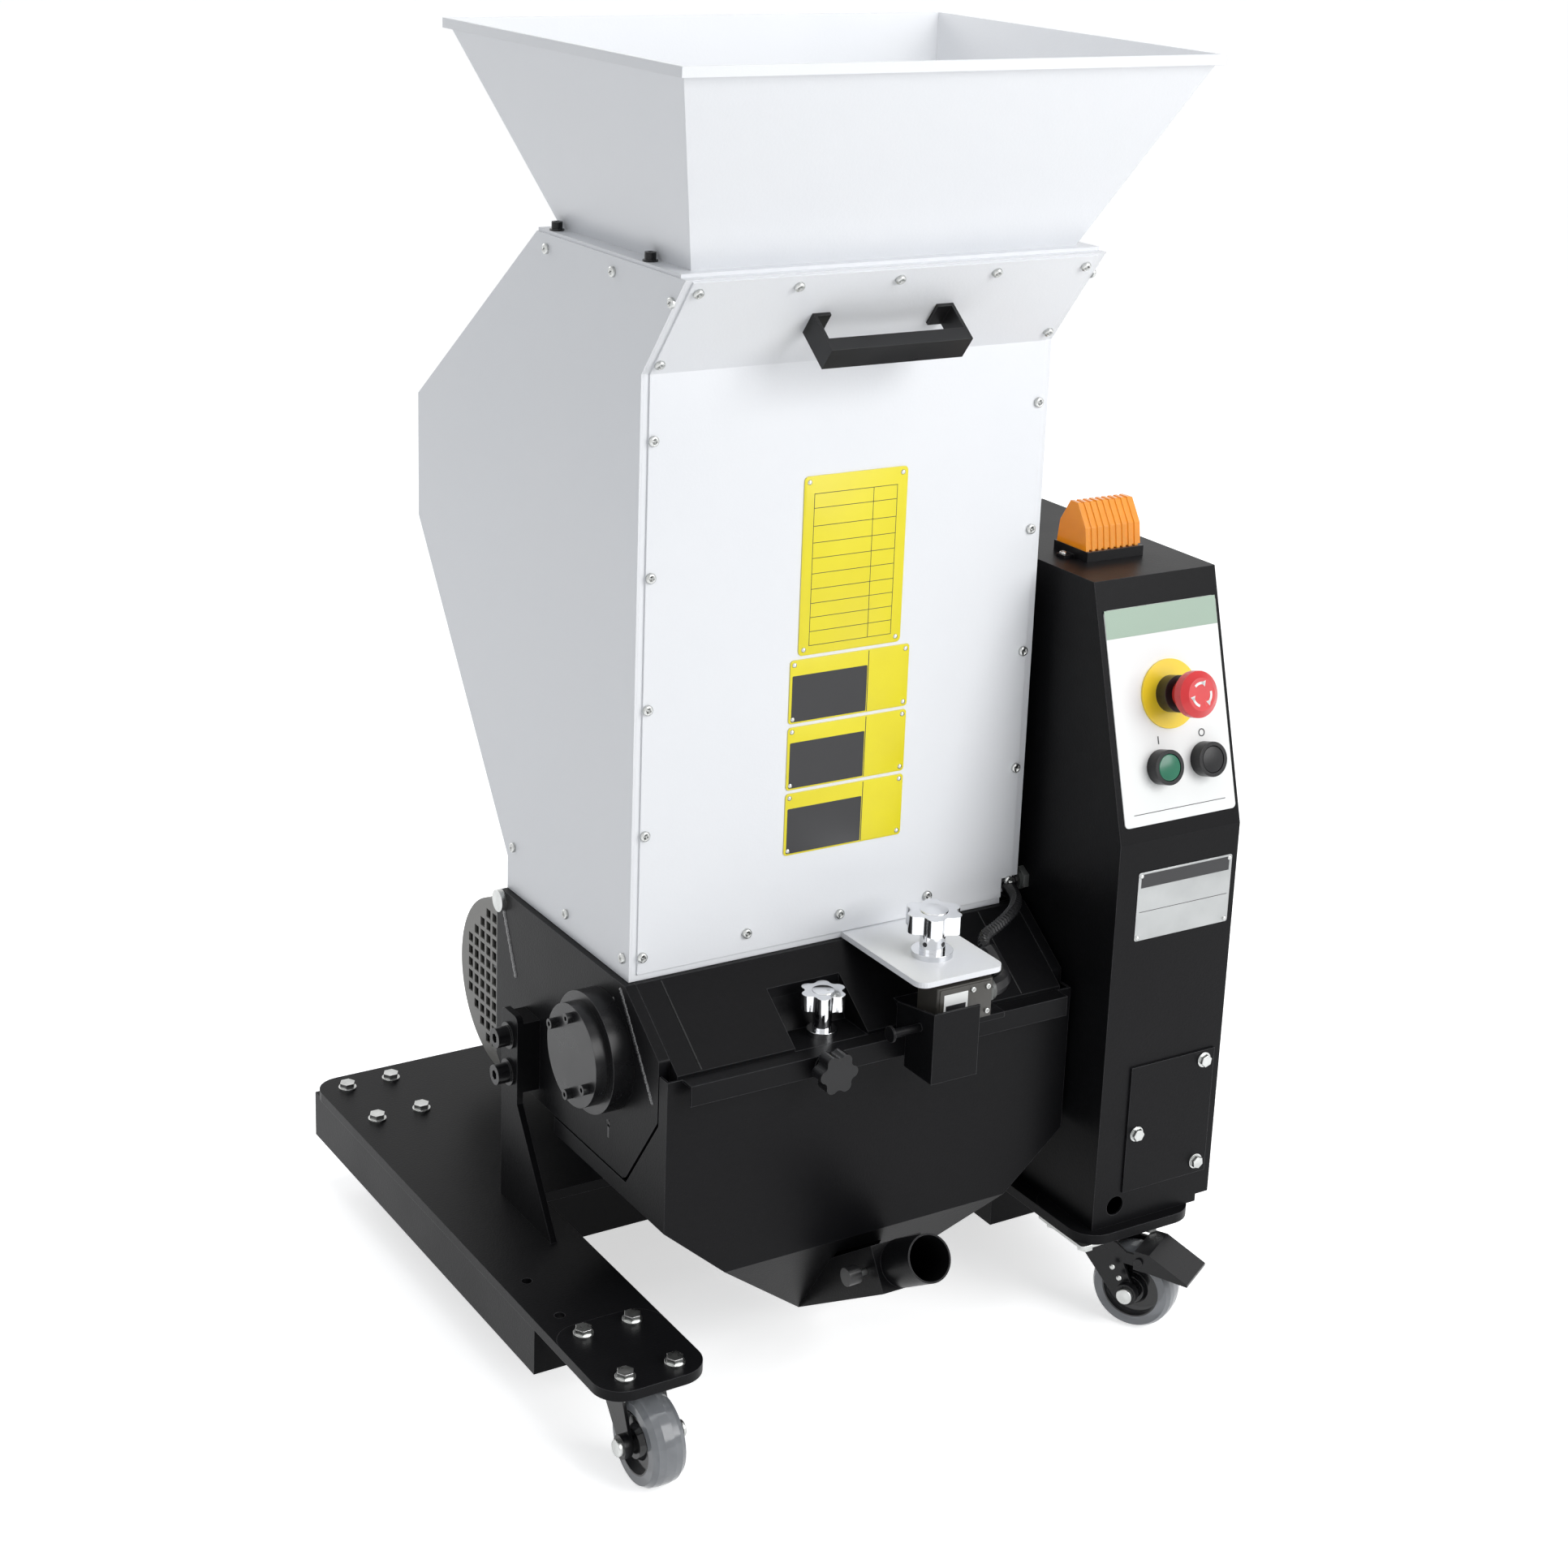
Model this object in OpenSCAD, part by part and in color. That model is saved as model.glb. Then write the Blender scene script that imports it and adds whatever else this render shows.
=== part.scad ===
// Beside-the-press plastic granulator on casters.
// X runs right along the front, Y to the back and Z up; the floor is Z = 0.
// The lengths are set out from the middle of the hopper's front face, and
// in_frame() then moves each piece so that X = 0, Y = 0 is under the middle
// of the whole machine's outline.

/* [Base] */
// Height of the base plate's top above the floor
base_top = 100; // [95:1:130]
// Thickness of the base plate
base_t = 9; // [6:0.5:11]
// Distance from the middle to each arm's inner edge
arm_in = 193; // [185:1:200]
// Width of the left arm
left_arm_w = 97; // [92:1:120]
// Width of the right arm, which carries the control box
right_arm_w = 127; // [122:1:150]
// Reach of the left arm in front of the hopper
left_reach = 135; // [128:1:150]
// Reach of the right arm in front of the hopper
right_reach = 122; // [118:1:123]
// Back edge of the base plate
base_back = 457; // [452:1:500]
// Front face of the cross beam
cross_y = 160; // [150:1:180]
// Depth of the skirts under the plate
skirt_h = 45; // [30:1:45]
// Thickness of the skirts
skirt_t = 4; // [3:0.5:6]

/* [Casters] */
// Wheel diameter
wheel_d = 76; // [70:1:76]
// Wheel width
wheel_w = 30; // [24:1:32]
// Distance of a swivel wheel behind its king pin
caster_trail = 37; // [30:1:40]
// Distance of the front casters' king pins in front of the hopper
caster_front = 97; // [92:1:102]
// Distance of the king pins from the middle
caster_x = 241; // [239:1:244]
// Distance of the rear wheels behind the hopper's front
caster_rear = 396; // [380:1:400]
// Short pitch of the caster bolts
bolt_pitch_s = 45; // [40:1:46]
// Long pitch of the caster bolts
bolt_pitch_l = 72; // [66:1:74]
// Turn of the right front caster
right_turn = 30; // [0:5:35]

/* [Cutting chamber] */
// Thickness of the side plates
chamber_t = 10; // [8:1:12]
// Height of the chamber's top above the base plate
chamber_rise = 272; // [268:1:290]
// Height of the side plates' bottom above the base plate
plate_gap = 100; // [95:1:104]
// Rotor axis behind the hopper's front
rotor_y = 28; // [26:0.5:30]
// Rotor axis above the base plate
rotor_rise = 203; // [200:1:205]
// Radius of the cutting circle
cut_r = 62; // [56:1:63]
// Diameter of the rotor shaft
shaft_d = 40; // [30:1:44]
// Knives along the rotor
knife_count = 5; // [3:1:7]
// Rows of knives round the rotor
knife_rows = 3; // [2:1:4]
// Radial gap between the cutting circle and the screen
screen_gap = 3; // [2:0.5:4]
// Thickness of the screen
screen_t = 3; // [2:0.5:4]
// Diameter of the screen's holes
screen_hole = 10; // [6:1:12]

/* [Hopper] */
// Width of the hopper
body_w = 390; // [380:1:394]
// Height of the upright front
front_h = 506; // [450:1:560]
// Height of the slanted front above it
slant_h = 83; // [60:1:100]
// Overhang of the slanted front
overhang = 65; // [45:1:75]
// Depth of the hopper at its foot
foot_depth = 226; // [222:1:230]
// Greatest depth of the hopper
rear_depth = 415; // [380:1:430]
// Height of the short upright at the rear foot
rear_foot_h = 30; // [24:1:40]
// Height of the lower rear edge above the hopper's foot
rear_low_h = 295; // [270:1:320]
// Height of the upper rear edge above the hopper's foot
rear_high_h = 408; // [380:1:430]
// Depth of the flat top
top_back = 180; // [175:1:200]
// Thickness of the hopper's sheets
sheet_t = 2.5; // [2:0.25:3]
// Thickness of the screwed covers
cover_t = 2; // [1.5:0.25:3]

/* [Feed funnel] */
// Width of the funnel's foot
throat_w = 356; // [340:1:360]
// Front of the funnel's foot, ahead of the hopper's front
throat_front = 43; // [36:1:46]
// Back of the funnel's foot
throat_back = 166; // [150:1:168]
// Width of the funnel's rim
rim_w = 482; // [440:1:520]
// Front of the rim, ahead of the hopper's front
rim_front = 135; // [100:1:150]
// Back of the rim
rim_back = 255; // [220:1:280]
// Height of the funnel
funnel_h = 163; // [120:1:200]

/* [Material bin] */
// Half width of the bin's floor
bin_foot_w = 25; // [24:1:27]
// Height of the bin's lowest edge above the floor
bin_low = 31; // [28:1:34]
// Height of the fold in the bin's front
bin_fold = 132; // [126:1:138]
// Back of the bin's floor
bin_back = 118; // [112:1:122]
// Thickness of the bin's sheet
bin_t = 2; // [1.5:0.25:2.5]
// Outer diameter of the suction tube
tube_d = 41; // [38:0.5:42]
// Wall of the suction tube
tube_t = 1.5; // [1:0.25:2]
// Length of the suction tube
tube_len = 46; // [40:1:60]
// Rise of the suction tube in degrees
tube_rise = 32; // [30:1:33]

/* [Control box] */
// Left side of the control box
box_left = 208; // [207:0.5:209]
// Width of the control box
box_w = 131; // [128:1:140]
// Reach of its front ahead of the hopper's front
box_reach = 124; // [123.5:0.5:128]
// Back of the control box
box_back = 186; // [180:1:190]
// Height of its upright front
box_low_h = 364; // [340:1:380]
// Height of its slanted front
box_high_h = 217; // [200:1:240]
// Lean of the slanted front
box_lean = 61; // [50:1:70]
// Thickness of its sheet
box_t = 2; // [1.5:0.25:2.5]

/* [Drive] */
// Motor shaft behind the hopper's front
motor_y = 362; // [358:1:364]
// Motor shaft above the base plate
motor_rise = 108; // [105:1:112]
// Diameter of the motor's barrel
motor_d = 156; // [140:1:160]
// Length of the motor's barrel
motor_len = 240; // [200:1:250]
// Diameter of the fan cover
fan_d = 172; // [164:1:174]
// Depth of the fan cover
fan_len = 58; // [50:1:60]
// Left face of the fan cover from the middle
fan_face = 136; // [130:1:140]
// Diameter of the rotor's pulley
pulley_big = 150; // [130:1:156]
// Diameter of the motor's pulley
pulley_small = 72; // [66:1:80]
// Width of the belt
belt_w = 20; // [16:1:24]
// Thickness of the belt
belt_t = 7; // [5:0.5:8]

/* [Buttons] */
// Diameter of the emergency stop's head
estop_d = 40; // [36:1:42]
// Diameter of the yellow disc behind it
disc_d = 60; // [56:1:62]
// Diameter of the start and stop buttons
button_d = 22; // [20:0.5:24]
// Travel of the push buttons
press_travel = 3; // [2:0.5:4]

/* [Hidden] */
$fn = 48;

// Shared clearances
cut = 1;
gap = 0.3;
bore_gap = 0.06;

// Middle of the outline, from the left arm to the control box and from the
// pedal's tip to the base plate's back edge
pedal_tip_y = 188.07;

// Levels and places that several pieces share
hop_z = base_top + chamber_rise;
rotor_z = base_top + rotor_rise;
motor_z = base_top + motor_rise;
plate_low = base_top + plate_gap;
bend_z = hop_z + front_h;
top_z = bend_z + slant_h;
left_out = arm_in + left_arm_w;
right_out = arm_in + right_arm_w;
base_low = base_top - base_t;
skirt_low = base_low - skirt_h;
base_r = 24;
chamber_over = 6;
ch_out = body_w / 2 + chamber_over;
ch_in = ch_out - chamber_t;
black = [0.08, 0.08, 0.085];
white = [0.92, 0.92, 0.92];
steel = [0.75, 0.76, 0.77];
middle_x = (box_left + box_w - left_out) / 2;
middle_y = (base_back - pedal_tip_y) / 2;
grey = [0.5, 0.5, 0.48];

// Outline helpers
function unit(v) = v / norm(v);
function turned(v, a) = [v[0] * cos(a) - v[1] * sin(a), v[0] * sin(a) + v[1] * cos(a)];
function half_angle(a, b, c) = acos(unit(a - b) * unit(c - b)) / 2;
function inward(a, b, c) = unit(unit(a - b) + unit(c - b));
// Arc that rounds the corner b between a and c
function corner(a, b, c, r, n) =
  let (h = half_angle(a, b, c), o = b + inward(a, b, c) * r / sin(h),
       p = b + unit(a - b) * r / tan(h) - o, q = b + unit(c - b) * r / tan(h) - o,
       s = p[0] * q[1] - p[1] * q[0] > 0 ? 1 : -1, w = 180 - 2 * h)
  [for (i = [0:n]) o + turned(p, s * w * i / n)];
// Outline with each corner rounded by its own radius
function rounded(pts, r, n = 6) =
  [for (i = [0:len(pts) - 1])
    let (m = len(pts), a = pts[(i + m - 1) % m], b = pts[i], c = pts[(i + 1) % m])
    each (r[i] > 0 ? corner(a, b, c, r[i], n) : [b])];
function same(v, n) = [for (i = [1:n]) v];
function left_of(v) = [-v[1], v[0]];
// Sum of two edges' normals, mitred
function mitre(p, q) = (p + q) / (1 + p * q);
// Counter-clockwise outline moved inward by t
function inset(pts, t) =
  [for (i = [0:len(pts) - 1])
    let (m = len(pts), a = pts[(i + m - 1) % m], b = pts[i], c = pts[(i + 1) % m])
    b + mitre(left_of(unit(b - a)), left_of(unit(c - b))) * t];
// Strip of sheet to the left of an open line
function strip(pts, t) =
  let (m = len(pts), d = [for (i = [0:m - 2]) left_of(unit(pts[i + 1] - pts[i]))])
  concat(pts, [for (k = [0:m - 1]) let (i = m - 1 - k)
    pts[i] + (i == 0 ? d[0] : i == m - 1 ? d[m - 2] : mitre(d[i - 1], d[i])) * t]);

// Outline in the YZ plane, thickened from x0 to x1
module along_x(x0, x1) {
  translate([x0, 0, 0]) rotate([90, 0, 90]) linear_extrude(x1 - x0) children();
}
module in_frame() {
  translate([-middle_x, -middle_y, 0]) children();
}
// Outline in the XZ plane, thickened from y0 to y1
module along_y(y0, y1) {
  translate([0, y1, 0]) rotate([90, 0, 0]) linear_extrude(y1 - y0) children();
}
module block(x0, x1, y0, y1, z0, z1) {
  translate([x0, y0, z0]) cube([x1 - x0, y1 - y0, z1 - z0]);
}
// Round bar or hole along X or Y through the point p
module bar_x(p, d, x0, x1) {
  translate([x0, p[0], p[1]]) rotate([0, 90, 0]) cylinder(d = d, h = x1 - x0);
}
module bar_y(p, d, y0, y1) {
  translate([p[0], y1, p[1]]) rotate([90, 0, 0]) cylinder(d = d, h = y1 - y0);
}
// Flat plate with rounded corners, from corner a to corner b
module flat(a, b, r, z0, z1) {
  translate([0, 0, z0]) linear_extrude(z1 - z0)
    polygon(rounded([a, [b[0], a[1]], b, [a[0], b[1]]], same(r, 4)));
}
module at_each(places) {
  for (p = places) translate(p) children();
}

// Flanged hexagon bolt standing on Z = 0 with its shank below
hex_af = 13;
hex_h = 6;
hex_flange = 17;
hex_flange_h = 1.6;
module hex_bolt(shank_d, shank_h) {
  cylinder(d = hex_flange, h = hex_flange_h);
  cylinder(d = hex_af / cos(30), h = hex_h, $fn = 6);
  translate([0, 0, -shank_h]) cylinder(d = shank_d, h = shank_h);
}
// Socket screw standing on Z = 0, with a washer when wide is over zero
socket_share = 0.5;
socket_depth_share = 0.6;
module socket_screw(d, wide, shank_h) {
  washer_h = wide > 0 ? d * washer_share : 0;
  head_d = d * head_share;
  if (wide > 0) cylinder(d = wide, h = washer_h);
  difference() {
    translate([0, 0, washer_h]) cylinder(d = head_d, h = d);
    translate([0, 0, washer_h + d * (1 - socket_depth_share)])
      cylinder(d = head_d * socket_share, h = d, $fn = 6);
  }
  translate([0, 0, -shank_h]) cylinder(d = d, h = shank_h + washer_h);
}
washer_share = 0.2;
head_share = 1.5;
// Star knob: lobes round a hub, on a stem, standing on Z = 0
lobe_share = 0.3;
body_share = 0.82;
lobe_place_share = 0.7;
valley_share = 0.26;
valley_place_share = 1.04;
collar_share = 0.62;
module star_knob(d, lobes, head_h, stem_d, stem_h, stud_d, stud_h) {
  r = d / 2;
  translate([0, 0, stem_h]) linear_extrude(head_h) difference() {
    union() {
      circle(r * body_share);
      for (i = [0:lobes - 1]) rotate(i * 360 / lobes) translate([r * lobe_place_share, 0])
        circle(r * lobe_share);
    }
    for (i = [0:lobes - 1]) rotate((2 * i + 1) * 180 / lobes) translate([r * valley_place_share, 0])
      circle(r * valley_share);
  }
  cylinder(d = stem_d, h = stem_h);
  cylinder(d = stem_d / collar_share, h = stem_h * washer_share);
  translate([0, 0, -stud_h]) cylinder(d = stud_d, h = stud_h);
}

// Base: a plate with a left and a right arm, skirts under it and uprights on it
bolt_hole = 9;
accessory_y = [34, -27];
accessory_hole = 9;
module caster_holes(places, z0, z1) {
  at_each(places) translate([0, 0, z0]) cylinder(d = bolt_hole, h = z1 - z0);
}
function grid(cx, cy, px, py) = [for (i = [-1, 1], j = [-1, 1]) [cx + i * px / 2, cy + j * py / 2, 0]];
left_bolts = grid(-caster_x, -caster_front, bolt_pitch_s, bolt_pitch_l);
right_bolts = grid(caster_x, -caster_front, bolt_pitch_l, bolt_pitch_s);
rear_bolts = concat(grid(-caster_x, caster_rear, bolt_pitch_s, bolt_pitch_l),
  grid(caster_x, caster_rear, bolt_pitch_s, bolt_pitch_l));
all_bolts = concat(left_bolts, right_bolts, rear_bolts);
accessory_edge = 22;
accessory_x = -left_out + accessory_edge;
module base_plate() in_frame() {
  pts = [[-left_out, -left_reach], [-arm_in, -left_reach], [-arm_in, cross_y], [arm_in, cross_y],
    [arm_in, -right_reach], [right_out, -right_reach], [right_out, base_back], [-left_out, base_back]];
  radii = [base_r, base_r, 0, 0, base_r, base_r, base_r, base_r];
  color(black) difference() {
    translate([0, 0, base_low]) linear_extrude(base_t) polygon(rounded(pts, radii));
    caster_holes(all_bolts, base_low - cut, base_top + cut);
    for (y = accessory_y) translate([accessory_x, y, base_low - cut])
      cylinder(d = accessory_hole, h = base_t + 2 * cut);
  }
}

skirt_in = 2.5;
skirt_front = 20;
skirt_right_y = 4;
module base_skirt() in_frame() {
  lx = left_out - skirt_in;
  rx = right_out - skirt_in;
  back = base_back - skirt_in;
  color(black) difference() {
    union() {
      block(-lx, -arm_in, -skirt_front, back, skirt_low, base_low);
      block(-lx, rx, cross_y, back, skirt_low, base_low);
      block(arm_in, rx, skirt_right_y, back, skirt_low, base_low);
    }
    block(-lx + skirt_t, -arm_in - skirt_t, skirt_t - skirt_front, back - skirt_t, skirt_low - cut,
      base_low + cut);
    block(arm_in + skirt_t, rx - skirt_t, skirt_right_y + skirt_t, back - skirt_t, skirt_low - cut,
      base_low + cut);
    block(-arm_in, arm_in, cross_y + skirt_t, back - skirt_t, skirt_low - cut, base_low + cut);
  }
}

upright_t = 6;
spacer_t = 16;
upright_y0 = 147;
upright_w = 31;
upright_foot = 78;
upright_rise = 184;
upright_shoulder = 102;
upright_bolt_d = 12;
upright_bolt_z = [162, 127];
spacer_z = [112, 178];
leg_y0 = 134;
module uprights() in_frame() {
  x1 = -ch_out - spacer_t;
  y1 = upright_y0 + upright_w;
  color(black) difference() {
    union() {
      along_x(x1 - upright_t, x1) polygon(rounded([[upright_foot, base_top], [y1, base_top],
        [y1, base_top + upright_rise], [upright_y0, base_top + upright_rise],
        [upright_y0, base_top + upright_shoulder]], [0, 0, upright_t, upright_t, 0]));
      block(x1, -ch_out, upright_y0, y1, base_top + spacer_z[0], base_top + spacer_z[1]);
    }
    for (z = upright_bolt_z) bar_x([upright_y0 + upright_w / 2, base_top + z],
      upright_bolt_d + 2 * bore_gap, x1 - upright_t - cut, -ch_out + cut);
  }
  color(black) {
    block(ch_in, ch_out, leg_y0, plate_back, base_top, plate_low);
    block(ch_in - foot_flange, ch_in, leg_y0, plate_back, base_top, base_top + upright_t);
    for (x = saddle_x) difference() {
      block(x, x + saddle_w, motor_y - saddle_y, motor_y + saddle_y, base_top,
        motor_z - motor_d * saddle_share);
      bar_x(axis_m, motor_d + gap, x - cut, x + saddle_w + cut);
    }
  }
}
foot_flange = 30;
// Saddles that carry the motor's barrel
saddle_w = 34;
saddle_x = [-30, 80];
saddle_y = 66;
saddle_share = 0.34;

// Screws of the upright and of the left bearing cap
cap_screw = 6;
cap_screw_r_share = 0.78;
cap_d = 88;
cap_t = 12;
housing_h = 19;
cap_face = ch_out + housing_h + cap_t;
module socket_screws() in_frame() {
  x1 = -ch_out - spacer_t - upright_t;
  color(steel) for (z = upright_bolt_z)
    translate([x1, upright_y0 + upright_w / 2, base_top + z]) rotate([0, -90, 0])
      socket_screw(upright_bolt_d, washer_d, spacer_t + upright_t + chamber_t / 2);
  color(black) for (a = [30, 90, 210, 270])
    translate([-cap_face, rotor_y, rotor_z]) rotate([a, 0, 0]) translate([0,
      cap_d * cap_screw_r_share / 2, 0])
      rotate([0, -90, 0]) socket_screw(cap_screw, 0, cap_t + cap_screw);
}
washer_d = 24;

// Casters
caster_l = 95;
caster_s = 67;
caster_t = 3;
race_d = 46;
race_h = 4.7;
king_d = 14;
king_up = 2.7;
fork_t = 3;
fork_gap = 2;
fork_top = base_low - caster_t - race_h - gap;
axle_z = wheel_d / 2;
axle_d = 12;
fork_half = wheel_w / 2 + fork_gap + fork_t;
module caster_plates() in_frame() {
  z0 = base_low - caster_t;
  color(steel) difference() {
    union() {
      flat([-caster_x - caster_s / 2, -caster_front - caster_l / 2],
        [-caster_x + caster_s / 2, -caster_front + caster_l / 2], skirt_t, z0, base_low);
      flat([caster_x - caster_l / 2, -caster_front - caster_s / 2],
        [caster_x + caster_l / 2, -caster_front + caster_s / 2], skirt_t, z0, base_low);
    }
    caster_holes(concat(left_bolts, right_bolts), z0 - cut, base_low + cut);
    for (s = [-1, 1]) translate([s * caster_x, -caster_front, z0 - cut])
      cylinder(d = king_d + 2 * bore_gap, h = caster_t + 2 * cut);
  }
}
cheek_top_w = 44;
cheek_nose = 11;
nose_share = 0.8;
// One cheek's outline: Y forward of the king pin is negative
module cheek(trail) {
  polygon(rounded([[-cheek_top_w / 2, fork_top], [cheek_top_w / 2, fork_top],
    [-trail + cheek_nose, axle_z - cheek_nose], [-trail - cheek_nose, axle_z - cheek_nose]],
    [0, 0, cheek_nose * nose_share, cheek_nose * nose_share]));
}
module swivel_fork(x, turn) {
  color(black) translate([x, -caster_front, 0]) rotate(turn) difference() {
    union() {
      for (s = [-1, 1]) translate([s * (fork_half - fork_t / 2), 0, 0])
        along_x(-fork_t / 2, fork_t / 2) cheek(caster_trail);
      block(-fork_half + fork_t, fork_half - fork_t, -cheek_top_w / 2, cheek_top_w / 2,
        fork_top - fork_t, fork_top);
      translate([0, 0, fork_top]) cylinder(d = race_d, h = race_h);
      translate([0, 0, fork_top]) cylinder(d = king_d, h = race_h + gap + king_up);
    }
    bar_x([-caster_trail, axle_z], axle_d, -fork_half - cut, fork_half + cut);
  }
  color(steel) translate([x, -caster_front, 0]) rotate(turn) axle(-caster_trail);
}
pedal_pin_y = 46;
pedal_pin_d = 7;
pedal_len = 46;
pedal_t = 2.5;
pedal_lift = 9;
pedal_down = 2;
pedal_rear = 5;
pedal_ear_up = 4;
pedal_pin_z = fork_top - pedal_lift - pedal_down;
pedal_half = fork_half + gap + pedal_t;
axle_head_d = 20;
axle_head_h = 7;
module axle(y) {
  bar_x([y, axle_z], axle_d, -fork_half, fork_half);
  bar_x([y, axle_z], axle_head_d, -fork_half - axle_head_h, -fork_half);
  bar_x([y, axle_z], axle_head_d, fork_half, fork_half + axle_head_h);
}
module caster_fork_fl() in_frame() { swivel_fork(-caster_x, 0); }
module caster_fork_fr() in_frame() {
  ear = pedal_pin_d;
  swivel_fork(caster_x, right_turn);
  color(black) translate([caster_x, -caster_front, 0]) rotate(right_turn) for (s = [-1, 1]) {
    translate([s * (fork_half - fork_t / 2), 0, 0]) along_x(-fork_t / 2, fork_t / 2)
      polygon([[-cheek_top_w / 2, fork_top], [-pedal_pin_y + 2 * ear, pedal_pin_z + pedal_ear_up],
        [-pedal_pin_y - ear, pedal_pin_z + pedal_ear_up], [-pedal_pin_y - ear, pedal_pin_z - ear],
        [-cheek_top_w / 2, pedal_pin_z - ear]]);
    translate([s * (fork_half + pedal_t), 0, 0])
      bar_x([-pedal_pin_y, pedal_pin_z], pedal_pin_d, -pedal_t, pedal_t);
  }
}
module rear_forks() in_frame() {
  z0 = base_low - caster_t;
  for (s = [-1, 1]) translate([s * caster_x, caster_rear, 0]) {
    color(black) difference() {
      union() {
        for (k = [-1, 1]) translate([k * (fork_half - fork_t / 2), 0, 0])
          along_x(-fork_t / 2, fork_t / 2) polygon(rounded([[-cheek_top_w / 2, z0], [cheek_top_w / 2, z0],
            [cheek_nose, axle_z - cheek_nose], [-cheek_nose, axle_z - cheek_nose]],
            [0, 0, cheek_nose * nose_share, cheek_nose * nose_share]));
        flat([-caster_s / 2, -caster_l / 2], [caster_s / 2, caster_l / 2], skirt_t, z0, base_low);
      }
      bar_x([0, axle_z], axle_d, -fork_half - cut, fork_half + cut);
      caster_holes(grid(0, 0, bolt_pitch_s, bolt_pitch_l), z0 - cut, base_low + cut);
    }
    color(steel) axle(0);
  }
}
tread_share = 0.3;
hub_share = 0.66;
boss_share = 0.33;
dish_share = 0.4;
side_share = 0.9;
shoulder_share = 0.975;
crown_share = 0.7;
// Wheel with a crowned tread, hub recesses and a true bore
module wheel_at(x, y0, turn, y) {
  r = wheel_d / 2;
  w = wheel_w / 2;
  color(grey) translate([x, y0, 0]) rotate(turn) translate([0, y, axle_z]) rotate([0, 90, 0])
    rotate_extrude() polygon([[axle_d / 2 + bore_gap, -w], [r * boss_share, -w],
      [r * dish_share, -w * hub_share], [r * hub_share, -w * hub_share], [r * hub_share, -w],
      [r * side_share, -w], [r * shoulder_share, -w * crown_share], [r, -w * tread_share],
      [r, w * tread_share], [r * shoulder_share, w * crown_share], [r * side_share, w],
      [r * hub_share, w], [r * hub_share, w * hub_share], [r * dish_share, w * hub_share],
      [r * boss_share, w], [axle_d / 2 + bore_gap, w]]);
}
module wheel_fl() in_frame() { wheel_at(-caster_x, -caster_front, 0, -caster_trail); }
module wheel_fr() in_frame() { wheel_at(caster_x, -caster_front, right_turn, -caster_trail); }
module wheel_rl() in_frame() { wheel_at(-caster_x, caster_rear, 0, 0); }
module wheel_rr() in_frame() { wheel_at(caster_x, caster_rear, 0, 0); }
pedal_side_share = 0.6;
// Brake pedal: a folded channel over the wheel, hinged on the fork's cheeks
module brake_pedal() in_frame() {
  half = pedal_half;
  z0 = pedal_pin_z;
  y0 = -pedal_pin_y;
  color(black) translate([caster_x, -caster_front, 0]) rotate(right_turn) {
    difference() {
      along_x(-half, half) polygon([[y0 + pedal_rear, z0 + pedal_lift], [y0 + pedal_rear, z0 - pedal_lift],
        [y0 - pedal_lift, z0 - pedal_lift], [y0 - pedal_len, z0 - pedal_lift - pedal_t],
        [y0 - pedal_len, z0 - pedal_lift], [y0 - pedal_lift, z0 + pedal_lift]]);
      along_x(-half + pedal_t, half - pedal_t) polygon([[y0 + pedal_rear + cut, z0 + pedal_lift - pedal_t],
        [y0 + pedal_rear + cut, z0 - pedal_len], [y0 - pedal_len * pedal_side_share, z0 - pedal_len],
        [y0 - pedal_len * pedal_side_share, z0 - pedal_t], [y0 - pedal_lift, z0 + pedal_lift - pedal_t]]);
      bar_x([y0, z0], pedal_pin_d + 2 * bore_gap, -half - cut, half + cut);
    }
  }
}
// Bolts of the casters with their nuts under the plates
module hex_bolts() in_frame() {
  color(steel) {
    at_each(left_bolts) translate([0, 0, base_top]) hex_bolt(bolt_hole - 2 * gap, base_t + caster_t);
    at_each(rear_bolts) translate([0, 0, base_top]) hex_bolt(bolt_hole - 2 * gap, base_t + caster_t);
    at_each(right_bolts) translate([0, 0, base_low - caster_t]) rotate([180, 0, 0])
      hex_bolt(bolt_hole - 2 * gap, base_t + caster_t);
    at_each(concat(left_bolts, rear_bolts)) translate([0, 0, base_low - caster_t - hex_h])
      cylinder(d = hex_af / cos(30), h = hex_h, $fn = 6);
  }
}

// Cutting chamber
plate_back = 234;
plate_front = 64;
nose_top = 42;
nose_low = 96;
toe_y = -11;
hinge_in = 10;
hinge_y = plate_back - hinge_in;
chamber_z = hop_z - gap;
hinge_z = chamber_z - hinge_in;
pin_d = 12;
brow = 5;
housing_d = 104;
bearing_d = 80;
plate_pts = [[toe_y, plate_low], [hinge_y, plate_low], [plate_back, plate_low + hinge_in],
  [plate_back, chamber_z], [-brow, chamber_z], [-plate_front, hop_z - nose_top],
  [-plate_front, hop_z - nose_low]];
plate_radii = [12, 0, 0, hinge_in, 2, 3, 3];
module side_plate(x0) {
  color(black) difference() {
    along_x(x0, x0 + chamber_t) polygon(rounded(plate_pts, plate_radii));
    bar_x([rotor_y, rotor_z], bearing_d, x0 - cut, x0 + chamber_t + cut);
    bar_x([hinge_y, hinge_z], pin_d + 2 * bore_gap, x0 - cut, x0 + chamber_t + cut);
    children();
  }
}
module chamber_left_plate() in_frame() {
  side_plate(-ch_out) for (z = upright_bolt_z)
    bar_x([upright_y0 + upright_w / 2, base_top + z], upright_bolt_d + 2 * bore_gap,
      -ch_out - cut, -ch_out + chamber_t / 2 + gap);
}
module chamber_right_plate() in_frame() { side_plate(ch_in); }

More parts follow.
